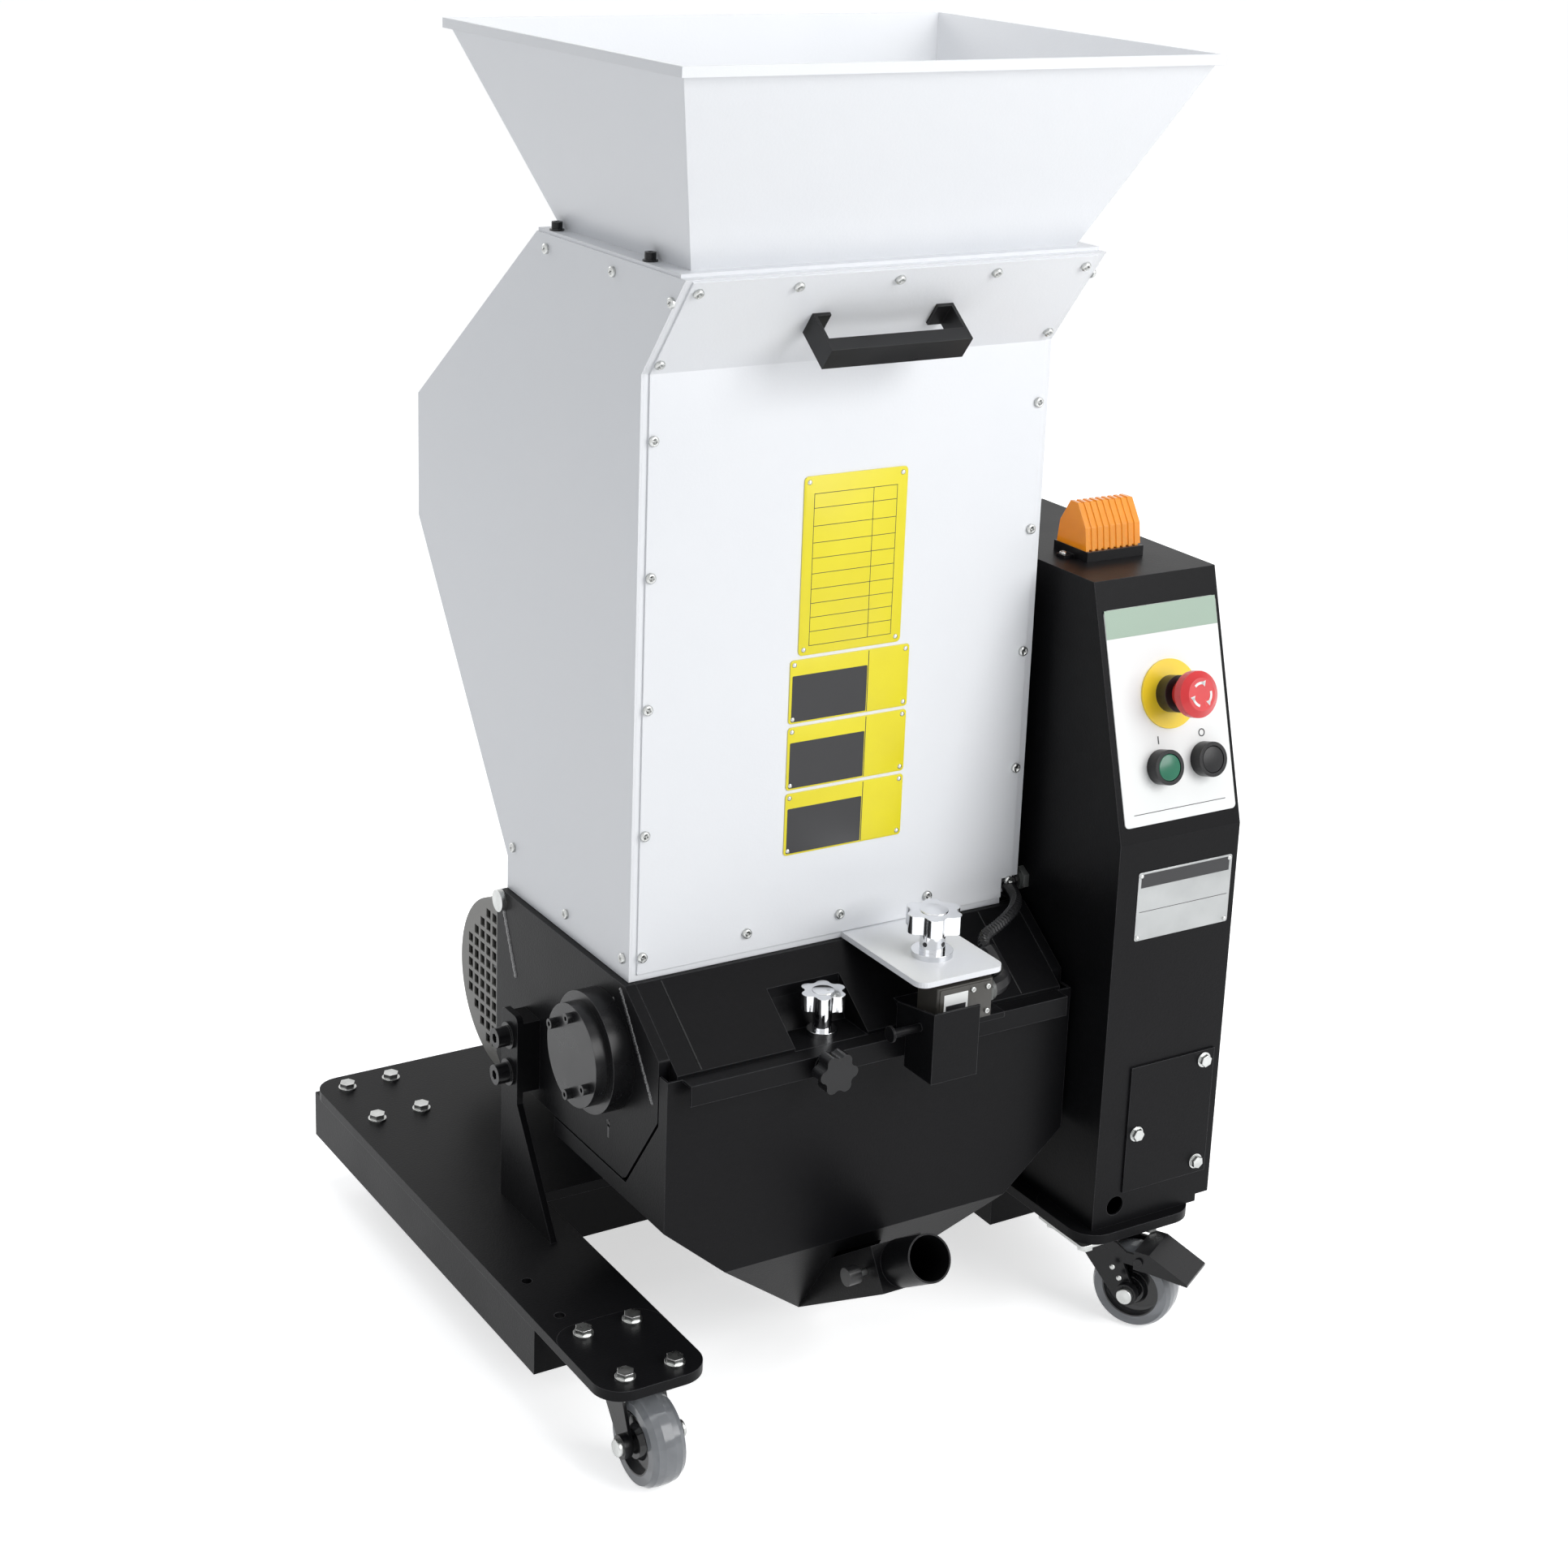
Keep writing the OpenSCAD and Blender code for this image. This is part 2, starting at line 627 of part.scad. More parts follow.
slope_t = 9;
slope_low = 51;
slope_y = 76.7;
knife_seat = 1;
knife_h = 14;
knife_w = 20;
ledge_h = 9;
seat_y = rotor_y - cut_r - knife_seat;
rear_y = rotor_y + cut_r + knife_seat;
ledge_z = rotor_z - knife_h;
ledge_in = 4;
wall_y = seat_y - knife_w;
wall_t = 7;
pocket_x = [-80, -9];
pocket_t = 4;
pocket_y = 41;
pocket_top_y = 29;
pocket_floor = 54;
pocket_rise = 27;
pocket_z = hop_z - pocket_floor;
screen_knob_x = -42;
screen_knob_y = -57;
knob_stud = 10;
bin_knob_x = -60;
bin_knob_drop = 63;
bin_knob_z = hop_z - bin_knob_drop;
bin_stud = 8;
bin_stud_in = 17;
function slope_at(y) = chamber_z - (-brow - y) * slope_low / (slope_y - brow);
function slope_y_at(z) = -brow - (chamber_z - z) * (slope_y - brow) / slope_low;
// Front wall: sloped brow, knife ledge and the pocket of the screen's star knob
module chamber_front_wall() in_frame() {
  x0 = -ch_in + gap;
  low = chamber_z - slope_low;
  inner = low - slope_t;
  color(black) difference() {
    union() {
      along_x(x0, -x0) polygon([[-brow, chamber_z], [-slope_y, low], [-slope_y, inner],
        [wall_y - wall_t, inner], [wall_y - wall_t, ledge_z - ledge_h], [seat_y - ledge_in,
          ledge_z - ledge_h],
        [seat_y - ledge_in, ledge_z], [wall_y, ledge_z], [wall_y, slope_at(wall_y) - slope_t],
        [-brow + slope_t, chamber_z]]);
      along_x(pocket_x[0] - pocket_t, pocket_x[1] + pocket_t) polygon([[-slope_y, low],
        [-slope_y, ledge_z + knife_h + cut], [-pocket_y + pocket_t, ledge_z + knife_h + cut],
        [-pocket_y + pocket_t, pocket_z], [-pocket_top_y + pocket_t, pocket_z + pocket_rise],
        [-pocket_top_y + pocket_t, slope_at(-pocket_top_y + pocket_t)]]);
    }
    along_x(pocket_x[0], pocket_x[1]) polygon([[-slope_y - cut, pocket_z], [-pocket_y, pocket_z],
      [-pocket_top_y, pocket_z + pocket_rise], [-pocket_top_y, hop_z], [-slope_y - cut, hop_z]]);
    translate([screen_knob_x, screen_knob_y, ledge_z]) cylinder(d = knob_stud + 2 * bore_gap, h = nose_low);
    bar_y([bin_knob_x, bin_knob_z], bin_stud + 2 * gap, -slope_y - cut, -slope_y + bin_stud_in);
  }
}
rear_out = 27;
rear_top_y = 203;
rear_top_t = 6;
// Rear wall: slide from the hopper's back down to the rear knife's ledge
module chamber_rear_wall() in_frame() {
  x0 = -ch_in + gap;
  y1 = rear_y + rear_out;
  y2 = rear_y + knife_w;
  color(black) along_x(x0, -x0) polygon([[rear_y + ledge_in, ledge_z - ledge_h], [y1, ledge_z - ledge_h],
    [y1, rotor_z], [rear_top_y, chamber_z - wall_t], [rear_top_y, chamber_z],
    [rear_top_y - rear_top_t, chamber_z], [y2, rotor_z + rear_top_t], [y2, ledge_z],
    [rear_y + ledge_in, ledge_z]]);
}
knife_bevel = 4;
module fixed_knives() in_frame() {
  x0 = -ch_in + gap;
  color(steel) {
    along_x(x0, -x0) polygon([[wall_y, ledge_z], [seat_y - knife_bevel, ledge_z], [seat_y, rotor_z],
      [wall_y, rotor_z]]);
    along_x(x0, -x0) polygon([[rear_y + knife_bevel, ledge_z], [rear_y + knife_w, ledge_z],
      [rear_y + knife_w, rotor_z], [rear_y, rotor_z]]);
  }
}
// Bearing housings bolted outside the plates, each with a spigot in the plate's bore
housing_bolt = 8;
housing_bolt_share = 0.92;
module bearing_housings() in_frame() {
  color(grey) for (s = [-1, 1]) difference() {
    union() {
      bar_x([rotor_y, rotor_z], housing_d, s < 0 ? -ch_out - housing_h : ch_out,
        s < 0 ? -ch_out : ch_out + housing_h);
      bar_x([rotor_y, rotor_z], bearing_d, s < 0 ? -ch_out : ch_in, s < 0 ? -ch_in : ch_out);
    }
    bar_x([rotor_y, rotor_z], shaft_d + 2 * bore_gap, s < 0 ? -ch_out - housing_h - cut : ch_in - cut,
      s < 0 ? -ch_in + cut : ch_out + housing_h + cut);
    if (s < 0) for (a = [30, 90, 210, 270]) translate([-ch_out - housing_h - cut, rotor_y, rotor_z])
      rotate([a, 0, 0]) translate([0, cap_d * cap_screw_r_share / 2, 0]) rotate([0, 90, 0])
        cylinder(d = cap_screw + 2 * bore_gap, h = cap_screw + 2 * cut);
  }
}
ring_t = 6;
module bearing_caps() in_frame() {
  x1 = ch_out + housing_h;
  color(black) difference() {
    bar_x([rotor_y, rotor_z], cap_d, -cap_face, -x1);
    for (a = [30, 90, 210, 270]) translate([-cap_face - cut, rotor_y, rotor_z]) rotate([a, 0, 0])
      translate([0, cap_d * cap_screw_r_share / 2, 0]) rotate([0, 90, 0])
        cylinder(d = cap_screw + 2 * bore_gap, h = cap_t + 2 * cut);
  }
  color(black) difference() {
    bar_x([rotor_y, rotor_z], cap_d, x1, x1 + ring_t);
    bar_x([rotor_y, rotor_z], shaft_d + 2 * bore_gap, x1 - cut, x1 + ring_t + cut);
  }
}

// Rotor with its staggered knives and its pulley
hub_d = 70;
hub_gap = 3;
hub_half = ch_in - hub_gap;
shaft_left = 218;
shaft_right = 290;
pulley_x = [245, 285];
module rotor() in_frame() {
  color(steel) {
    bar_x([rotor_y, rotor_z], shaft_d, -shaft_left, -hub_half);
    bar_x([rotor_y, rotor_z], hub_d, -hub_half, hub_half);
    bar_x([rotor_y, rotor_z], shaft_d, hub_half, shaft_right);
  }
}
blade_w = 46;
blade_t = 16;
blade_edge = 3;
// Knife blocks in rows round the hub, each row shifted along it
module rotor_knives() in_frame() {
  pitch = 2 * hub_half / knife_count;
  step = (pitch - blade_w) / knife_rows;
  color(steel) difference() {
    for (r = [0:knife_rows - 1], k = [0:knife_count - 1])
      translate([-hub_half + k * pitch + r * step, rotor_y, rotor_z]) rotate([r * 360 / knife_rows, 0, 0])
        along_x(0, blade_w) polygon([[0, -blade_t / 2], [cut_r - blade_t / 2, -blade_t / 2],
          [cut_r - blade_edge, blade_edge], [cut_r - blade_edge, blade_t / 2], [0, blade_t / 2]]);
    bar_x([rotor_y, rotor_z], hub_d, -hub_half - cut, hub_half + cut);
  }
}
groove = 5;
rim_t = 8;
// Pulley: hub, seat for the belt and two flanges, at the point p
module pulley(p, d, hole) {
  c = (pulley_x[0] + pulley_x[1]) / 2;
  half = belt_w / 2 + gap;
  difference() {
    union() {
      bar_x(p, d - 2 * groove, pulley_x[0], pulley_x[1]);
      bar_x(p, d + groove, c - half - rim_t, c - half);
      bar_x(p, d + groove, c + half, c + half + rim_t);
    }
    bar_x(p, hole, pulley_x[0] - cut, pulley_x[1] + cut);
  }
}
module rotor_pulley() in_frame() {
  color(grey) pulley([rotor_y, rotor_z], pulley_big, shaft_d);
}

// Screen under the rotor and the cradle that carries it
screen_r = cut_r + screen_gap;
screen_side = 76;
screen_rows = 7;
screen_cols = 13;
screen_pitch = 27;
function arc(r, a0, a1, n) = [for (i = [0:n]) [rotor_y, rotor_z] + r * [sin(a0 + (a1 - a0) * i / n),
  -cos(a0 + (a1 - a0) * i / n)]];
function reversed(v) = [for (i = [1:len(v)]) v[len(v) - i]];
module arch(r0, r1, a, x0, x1) {
  along_x(x0, x1) polygon(concat(arc(r0, -a, a, 24), reversed(arc(r1, -a, a, 24))));
}
module screen() in_frame() {
  color(steel) difference() {
    arch(screen_r, screen_r + screen_t, screen_side, -ch_in + gap, ch_in - gap);
    for (i = [0:screen_rows - 1], k = [0:screen_cols - 1])
      translate([(k - (screen_cols - 1) / 2) * screen_pitch, rotor_y, rotor_z])
        rotate([screen_side * (2 * i + 1 - screen_rows) / screen_rows, 0, 0])
          translate([0, 0, -screen_r - screen_t - cut]) cylinder(d = screen_hole, h = screen_t + 2 * cut,
            $fn = 16);
  }
}
rib_x = [-184, -62, 54, 176];
rib_w = 8;
rib_h = 10;
bar_low = 45;
bar_high = 31;
bar_in = 66;
bar_out = 84;
module screen_cradle() in_frame() {
  r0 = screen_r + screen_t + gap / 2;
  color(black) {
    for (x = rib_x) arch(r0, r0 + rib_h, screen_side - rib_h, x, x + rib_w);
    for (s = [-1, 1]) difference() {
      block(-ch_in + gap, ch_in - gap, rotor_y + (s < 0 ? -bar_out : bar_in),
        rotor_y + (s < 0 ? -bar_in : bar_out),
        rotor_z - bar_low, rotor_z - bar_high);
      bar_x([rotor_y, rotor_z], 2 * r0, -ch_out, ch_out);
    }
  }
}

// Motor with fins, feet and a perforated fan cover
fin_h = 8;
fin_w = 3;
fin_count = 32;
end_t = 12;
motor_x0 = fan_len - fan_face;
motor_x1 = motor_x0 + motor_len;
motor_shaft_d = 28;
pad_z = 290;
pad_low = 268;
pad_x = [0, 90];
pad_half = 42;
axis_m = [motor_y, motor_z];
module motor_housing() in_frame() {
  color(grey) difference() {
    union() {
      bar_x(axis_m, motor_d - 2 * fin_h, motor_x0, motor_x1);
      along_x(motor_x0 + end_t, motor_x1 - end_t) translate(axis_m)
        for (i = [0:fin_count - 1]) rotate(i * 360 / fin_count) translate([0, -fin_w / 2])
          square([motor_d / 2, fin_w]);
      bar_x(axis_m, fan_d - 2 * cover_t, motor_x0, motor_x0 + end_t);
      bar_x(axis_m, motor_d, motor_x1 - end_t, motor_x1);
      bar_x(axis_m, motor_d - 6 * fin_h, motor_x1, motor_x1 + end_t);
      block(pad_x[0], pad_x[1], motor_y - pad_half, motor_y + pad_half, pad_low, pad_z);
    }
    bar_x(axis_m, motor_shaft_d + 2 * bore_gap, motor_x0 - cut, motor_x1 + end_t + cut);
  }
}
mesh_pitch = 13;
mesh_hole = 9;
mesh_rows = 5;
mesh_r_share = 0.84;
module motor_fan_cover() in_frame() {
  r = fan_d / 2;
  color(grey) difference() {
    bar_x(axis_m, fan_d, -fan_face, motor_x0 + end_t);
    bar_x(axis_m, fan_d - 2 * cover_t, -fan_face + cover_t, motor_x0 + end_t + cut);
    for (i = [-mesh_rows:mesh_rows], k = [-mesh_rows:mesh_rows])
      if (norm([i, k]) * mesh_pitch < r * mesh_r_share)
        translate([-fan_face - cut, motor_y + i * mesh_pitch - mesh_hole / 2,
          motor_z + k * mesh_pitch - mesh_hole / 2])
          cube([cover_t + 2 * cut, mesh_hole, mesh_hole]);
  }
}
terminal_h = 40;
terminal_lid = 4;
module terminal_box() in_frame() {
  color(grey) {
    block(pad_x[0], pad_x[1], motor_y - pad_half, motor_y + pad_half, pad_z,
      pad_z + terminal_h - terminal_lid);
    block(pad_x[0] - fin_w, pad_x[1] + fin_w, motor_y - pad_half - fin_w, motor_y + pad_half + fin_w,
      pad_z + terminal_h - terminal_lid, pad_z + terminal_h);
  }
}
fan_x = [-120, -96];
fan_hub = 46;
fan_blades = 7;
fan_blade_t = 3;
fan_r_share = 0.86;
module motor_shaft() in_frame() {
  color(steel) bar_x(axis_m, motor_shaft_d, fan_x[0] - cut, shaft_right);
  color(black) difference() {
    union() {
      bar_x(axis_m, fan_hub, fan_x[0], fan_x[1]);
      for (i = [0:fan_blades - 1]) along_x(fan_x[0], fan_x[1]) translate(axis_m)
        rotate(i * 360 / fan_blades) translate([0, -fan_blade_t / 2])
          square([fan_d * fan_r_share / 2, fan_blade_t]);
    }
    bar_x(axis_m, motor_shaft_d, fan_x[0] - cut, fan_x[1] + cut);
  }
  color(grey) pulley(axis_m, pulley_small, motor_shaft_d);
}
// Line round two pulleys, at the radii ra and rb
function round_two(a, b, ra, rb, n) =
  let (t = atan2(b[1] - a[1], b[0] - a[0]), w = acos((ra - rb) / norm(b - a)))
  concat([for (i = [0:n]) a + ra * [cos(t + w + (360 - 2 * w) * i / n), sin(t + w + (360 - 2 * w)
    * i / n)]],
    [for (i = [0:n]) b + rb * [cos(t - w + 2 * w * i / n), sin(t - w + 2 * w * i / n)]]);
module drive_belt() in_frame() {
  c = (pulley_x[0] + pulley_x[1]) / 2;
  ra = pulley_big / 2 - groove + gap;
  rb = pulley_small / 2 - groove + gap;
  a = [rotor_y, rotor_z];
  color(black) along_x(c - belt_w / 2, c + belt_w / 2) difference() {
    polygon(round_two(a, axis_m, ra + belt_t, rb + belt_t, 24));
    polygon(round_two(a, axis_m, ra, rb, 24));
  }
}
guard_x = [228, 302];
guard_t = 2;
guard_back = 450;
guard_rear_h = 140;
guard_corner = 30;
guard_corner_h = 162;
guard_front_h = 252;
guard_pts = [[box_back, base_top], [guard_back, base_top], [guard_back, base_top + guard_rear_h],
  [guard_back - guard_corner, base_top + guard_corner_h], [box_back, base_top + guard_front_h]];
module belt_guard() in_frame() {
  c = inset(guard_pts, guard_t);
  color(black) difference() {
    along_x(guard_x[0], guard_x[1]) polygon(guard_pts);
    along_x(guard_x[0] + guard_t, guard_x[1] - guard_t) polygon([c[0] - 2 * guard_t * [1, 1], c[1] - [0,
      2 * guard_t],
      c[2], c[3], c[4] - [2 * guard_t, 0]]);
    bar_x(axis_m, motor_shaft_d + 2 * guard_t, guard_x[0] - cut, guard_x[0] + guard_t + cut);
  }
}

// Hinge pins of the hopper, through both side plates
ear_gap = 3;
ear_t = 8;
ear_in = ch_in - ear_gap - ear_t;
ear_r = 14;
pin_head_d = 20;
pin_head_t = 5;
pin_stub = 2;
pin_in = ear_in - pin_stub;
module hopper_hinge() in_frame() {
  p = [hinge_y, hinge_z];
  color(steel) {
    bar_x(p, pin_d, -ch_out, -pin_in);
    bar_x(p, pin_head_d, -ch_out - pin_head_t, -ch_out);
    bar_x(p, pin_d, pin_in, ch_out);
    bar_x(p, pin_head_d, ch_out, ch_out + pin_head_t);
  }
}

// Hopper: outline in the YZ plane, counter-clockwise
hop_pts = [[0, hop_z], [foot_depth, hop_z], [foot_depth, hop_z + rear_foot_h], [rear_depth,
  hop_z + rear_low_h],
  [rear_depth, hop_z + rear_high_h], [top_back, top_z], [-overhang, top_z], [0, bend_z]];
notch_x = 177;
notch_y = 20;
notch_h = 24;
cover_low = 6;
front_t = 1.5;
cover_in = 7;
cover_half = body_w / 2 - cover_in;
module notch() {
  block(notch_x, body_w, -notch_y, notch_y, hop_z - cut, hop_z + notch_h);
}
module hopper_shell() in_frame() {
  half = body_w / 2 - cover_t;
  p = [hinge_y, hinge_z];
  color(white) difference() {
    union() {
      along_x(-half, half) difference() {
        polygon(hop_pts);
        polygon(inset(hop_pts, sheet_t));
      }
      for (s = [-1, 1]) along_x(s < 0 ? -ear_in - ear_t : ear_in, s < 0 ? -ear_in : ear_in + ear_t) {
        translate(p) circle(ear_r);
        polygon([[p[0] - ear_r, p[1]], [p[0], p[1]], [foot_depth - sheet_t / 2, hop_z + sheet_t],
          [foot_depth - sheet_t / 2, hop_z + rear_foot_h], [p[0] - ear_r, hop_z + rear_foot_h]]);
      }
    }
    block(-half + sheet_t, half - sheet_t, sheet_t, p[0] - ear_r - sheet_t, hop_z - cut,
      hop_z + sheet_t + cut);
    block(-ear_in + sheet_t, ear_in - sheet_t, p[0] - ear_r - 2 * sheet_t, foot_depth - sheet_t,
      hop_z - cut,
      hop_z + sheet_t + cut);
    block(-throat_w / 2 + sheet_t, throat_w / 2 - sheet_t, -throat_front + sheet_t, throat_back - sheet_t,
      top_z - sheet_t - cut, top_z + cut);
    bar_x(p, pin_d + 2 * bore_gap, -ear_in - ear_t - cut, ear_in + ear_t + cut);
    notch();
  }
}
module hopper_front_cover() in_frame() {
  d = unit(hop_pts[6] - hop_pts[7]);
  e = hop_pts[6] - d * sheet_t;
  color(white) difference() {
    along_x(-cover_half, cover_half) polygon(strip([[0, hop_z + cover_low], hop_pts[7], e], front_t));
    notch();
  }
}
module hopper_side_covers() in_frame() {
  half = body_w / 2;
  color(white) {
    along_x(-half, -half + cover_t) polygon(hop_pts);
    difference() {
      along_x(half - cover_t, half) polygon(hop_pts);
      notch();
    }
  }
}
// Funnel: flange, four leaning walls and a hemmed rim
flange_t = 3;
flange_in = 1;
flange_w = body_w - 2 * flange_in;
flange_lip = 13;
hem_h = 8;
hem_out = 2;
function mouth(s, t) =
  let (w = throat_w + (rim_w - throat_w) * s, a = throat_front + (rim_front - throat_front) * s,
       b = throat_back + (rim_back - throat_back) * s, z = top_z + funnel_h * s)
  [[-w / 2 + t, -a + t, z], [w / 2 - t, -a + t, z], [w / 2 - t, b - t, z], [-w / 2 + t, b - t, z]];
module tapered(a, b) {
  polyhedron(concat(a, b), [[0, 1, 2, 3], [7, 6, 5, 4], [0, 4, 5, 1], [1, 5, 6, 2], [2, 6, 7, 3], [3, 7,
    4, 0]]);
}
over_share = 0.02;
module feed_funnel() in_frame() {
  r = mouth(1, 0);
  t = sheet_t;
  color(white) difference() {
    union() {
      tapered(mouth(0, 0), mouth(1, 0));
      block(-flange_w / 2, flange_w / 2, -throat_front - flange_lip, throat_back + flange_lip, top_z,
        top_z + flange_t);
      block(r[0][0] - hem_out, r[1][0] + hem_out, r[0][1] - hem_out, r[2][1] + hem_out,
        top_z + funnel_h - hem_h,
        top_z + funnel_h);
    }
    tapered(mouth(-over_share, t), mouth(1 + over_share, t));
    for (x = [-1, 1], y = funnel_bolt_y) translate([x * funnel_bolt_x, y, top_z - cut])
      cylinder(d = funnel_screw + 2 * bore_gap, h = flange_t + 2 * cut);
  }
}
funnel_screw = 6;
funnel_bolt_in = 7.5;
funnel_bolt_x = body_w / 2 - funnel_bolt_in;
funnel_bolt_y = [3, 159];
funnel_washer = 12;
module funnel_bolts() in_frame() {
  color(black) for (x = [-1, 1], y = funnel_bolt_y) translate([x * funnel_bolt_x, y, top_z + flange_t])
    socket_screw(funnel_screw, funnel_washer, flange_t);
}
handle_half = 66;
handle_out = 38;
handle_w = 22;
handle_t = 3;
handle_flange = 12;
handle_foot = 16;
handle_up_share = 0.45;
slant_a = 90 + atan2(overhang, slant_h);
// Handle: a channel bent to a bridge on the slanted front
module hopper_handle() in_frame() {
  q = (hop_pts[6] - hop_pts[7]) * handle_up_share + hop_pts[7];
  w = handle_w / 2;
  color(black) translate([0, q[0], q[1]]) rotate([slant_a, 0, 0]) translate([0, 0, front_t]) {
    block(-handle_half, handle_half, -w, w, handle_out - handle_t, handle_out);
    for (s = [-1, 1]) block(-handle_half, handle_half, s < 0 ? -w : w - handle_t, s < 0 ? -w + handle_t : w,
      handle_out - handle_flange, handle_out - handle_t);
    for (s = [-1, 1]) {
      block(s < 0 ? -handle_half : handle_half - handle_t, s < 0 ? -handle_half + handle_t : handle_half,
        -w, w, 0, handle_out - handle_t);
      block(s < 0 ? -handle_half : handle_half - handle_foot,
        s < 0 ? -handle_half + handle_foot : handle_half,
        -w, w, 0, handle_t);
    }
  }
}

// Lock tab of the hopper and the switch under it
tab_x = [11, 97];
tab_y = 121;
tab_t = 5;
tab_r = 10;
knob_x = 54;
knob_y = -74;
module hopper_lock_tab() in_frame() {
  color(white) difference() {
    translate([0, 0, hop_z]) linear_extrude(tab_t)
      polygon(rounded([[tab_x[0], -tab_y], [tab_x[1], -tab_y], [tab_x[1], 0], [tab_x[0], 0]], [tab_r,
        tab_r, 0, 0]));
    translate([knob_x, knob_y, hop_z - cut]) cylinder(d = knob_stud + 2 * bore_gap, h = tab_t + 2 * cut);
  }
}
knob_d = 50;
knob_head = 16;
knob_stem = 24;
knob_stem_d = 22;
knob_below = 14;
module hopper_lock_knob() in_frame() {
  color(steel) translate([knob_x, knob_y, hop_z + tab_t])
    star_knob(knob_d, 6, knob_head, knob_stem_d, knob_stem, knob_stud, knob_below + tab_t);
}
screen_knob_d = 40;
screen_knob_stem = 25;
screen_knob_stud = 14;
screen_stem_d = 16;
module screen_lock_knob() in_frame() {
  color(steel) translate([screen_knob_x, screen_knob_y, pocket_z])
    star_knob(screen_knob_d, 6, knob_head - 2 * cut, screen_stem_d, screen_knob_stem, knob_stud,
      screen_knob_stud);
}
bracket_x = [29, 98];
bracket_y = 122;
bracket_drop = 42;
bracket_t = 5;
post_d = 19;
knob_play = 2;
switch_x = [28, 84];
switch_back = 92;
switch_top = 3;
module switch_bracket() in_frame() {
  z0 = hop_z - bracket_drop;
  z1 = z0 + bracket_t;
  color(black) difference() {
    union() {
      along_x(bracket_x[0], bracket_x[1]) polygon([[-bracket_y, z0], [slope_y_at(z0), z0],
        [slope_y_at(z1), z1],
        [-bracket_y, z1]]);
      translate([knob_x, knob_y, z1]) cylinder(d = post_d, h = hop_z - cut - z1);
    }
    translate([knob_x, knob_y, z1 + bracket_t]) cylinder(d = knob_stud + 2 * knob_play, h = bracket_drop);
  }
}
switch_r = 2;
module safety_switch() in_frame() {
  z0 = hop_z - bracket_drop + bracket_t;
  color(black) translate([0, 0, z0]) linear_extrude(hop_z - switch_top - z0)
    polygon(rounded([[switch_x[0], -bracket_y], [switch_x[1], -bracket_y], [switch_x[1], -switch_back],
      [switch_x[0], -switch_back]], same(switch_r, 4)));
}
// Ribbed conduit from the switch to the control box, swept along its route
conduit_d = 11;
conduit_bore = 7;
rib_depth = 0.9;
elbow_d = 16;
elbow_share = 0.3;
conduit_ribs = 62;
route = [[84, -107, 351], [108, -107, 351], [112, -88, 362], [106, -68, 378], [136, -58, 382], [172, -34,
  384],
  [186, -8, 386], [184, 9, 388], [208, 9, 388]];
function mix(a, b, s) = a + (b - a) * s;
// Point and direction at s along the smoothed route
function bend_at(p, q, r, s) = mix(mix(p, q, s), mix(q, r, s), s);
function heading(p, q, r, s) = unit(mix(q - p, r - q, s));
route_n = len(route);
function knot(i) = i == 0 ? route[0] : i == route_n - 2 ? route[route_n - 1] : (route[i] + route[i + 1])
  / 2;
function leg_of(s) = min(floor(s * (route_n - 2)), route_n - 3);
function route_point(s) = let (i = leg_of(s)) bend_at(knot(i), route[i + 1], knot(i + 1),
  s * (route_n - 2) - i);
function route_way(s) = let (i = leg_of(s)) heading(knot(i), route[i + 1], knot(i + 1), s * (route_n - 2)
  - i);
function ring_at(c, w, r) = let (u = unit(cross(w, [0, 0, 1])), v = cross(u, w))
  [for (k = [0:7]) c + r * (cos(45 * k) * u + sin(45 * k) * v)];
function tube_faces(m, k) = concat(
  [for (i = [0:m - 2], j = [0:7]) [i * 8 + j, i * 8 + (j + 1) % 8, i * 8 + 8 + (j + 1) % 8, i * 8 + 8 + j]],
  [for (i = [0:m - 2], j = [0:7]) [k + i * 8 + j, k + i * 8 + 8 + j, k + i * 8 + 8 + (j + 1) % 8,
    k + i * 8 + (j + 1) % 8]],
  [for (j = [0:7]) [j, k + j, k + (j + 1) % 8, (j + 1) % 8]],
  [for (j = [0:7]) [m * 8 - 8 + j, m * 8 - 8 + (j + 1) % 8, k + m * 8 - 8 + (j + 1) % 8,
    k + m * 8 - 8 + j]]);
module switch_conduit() in_frame() {
  m = 2 * conduit_ribs + 1;
  s = [for (i = [0:m - 1]) i / (m - 1)];
  r = [for (i = [0:m - 1]) s[i] < elbow_share ? elbow_d / 2 : conduit_d / 2 - (i % 2) * rib_depth];
  outer = [for (i = [0:m - 1]) each ring_at(route_point(s[i]), route_way(s[i]), r[i])];
  inner = [for (i = [0:m - 1]) each ring_at(route_point(s[i]), route_way(s[i]), conduit_bore / 2)];
  color(black) polyhedron(concat(outer, inner), tube_faces(m, m * 8));
}

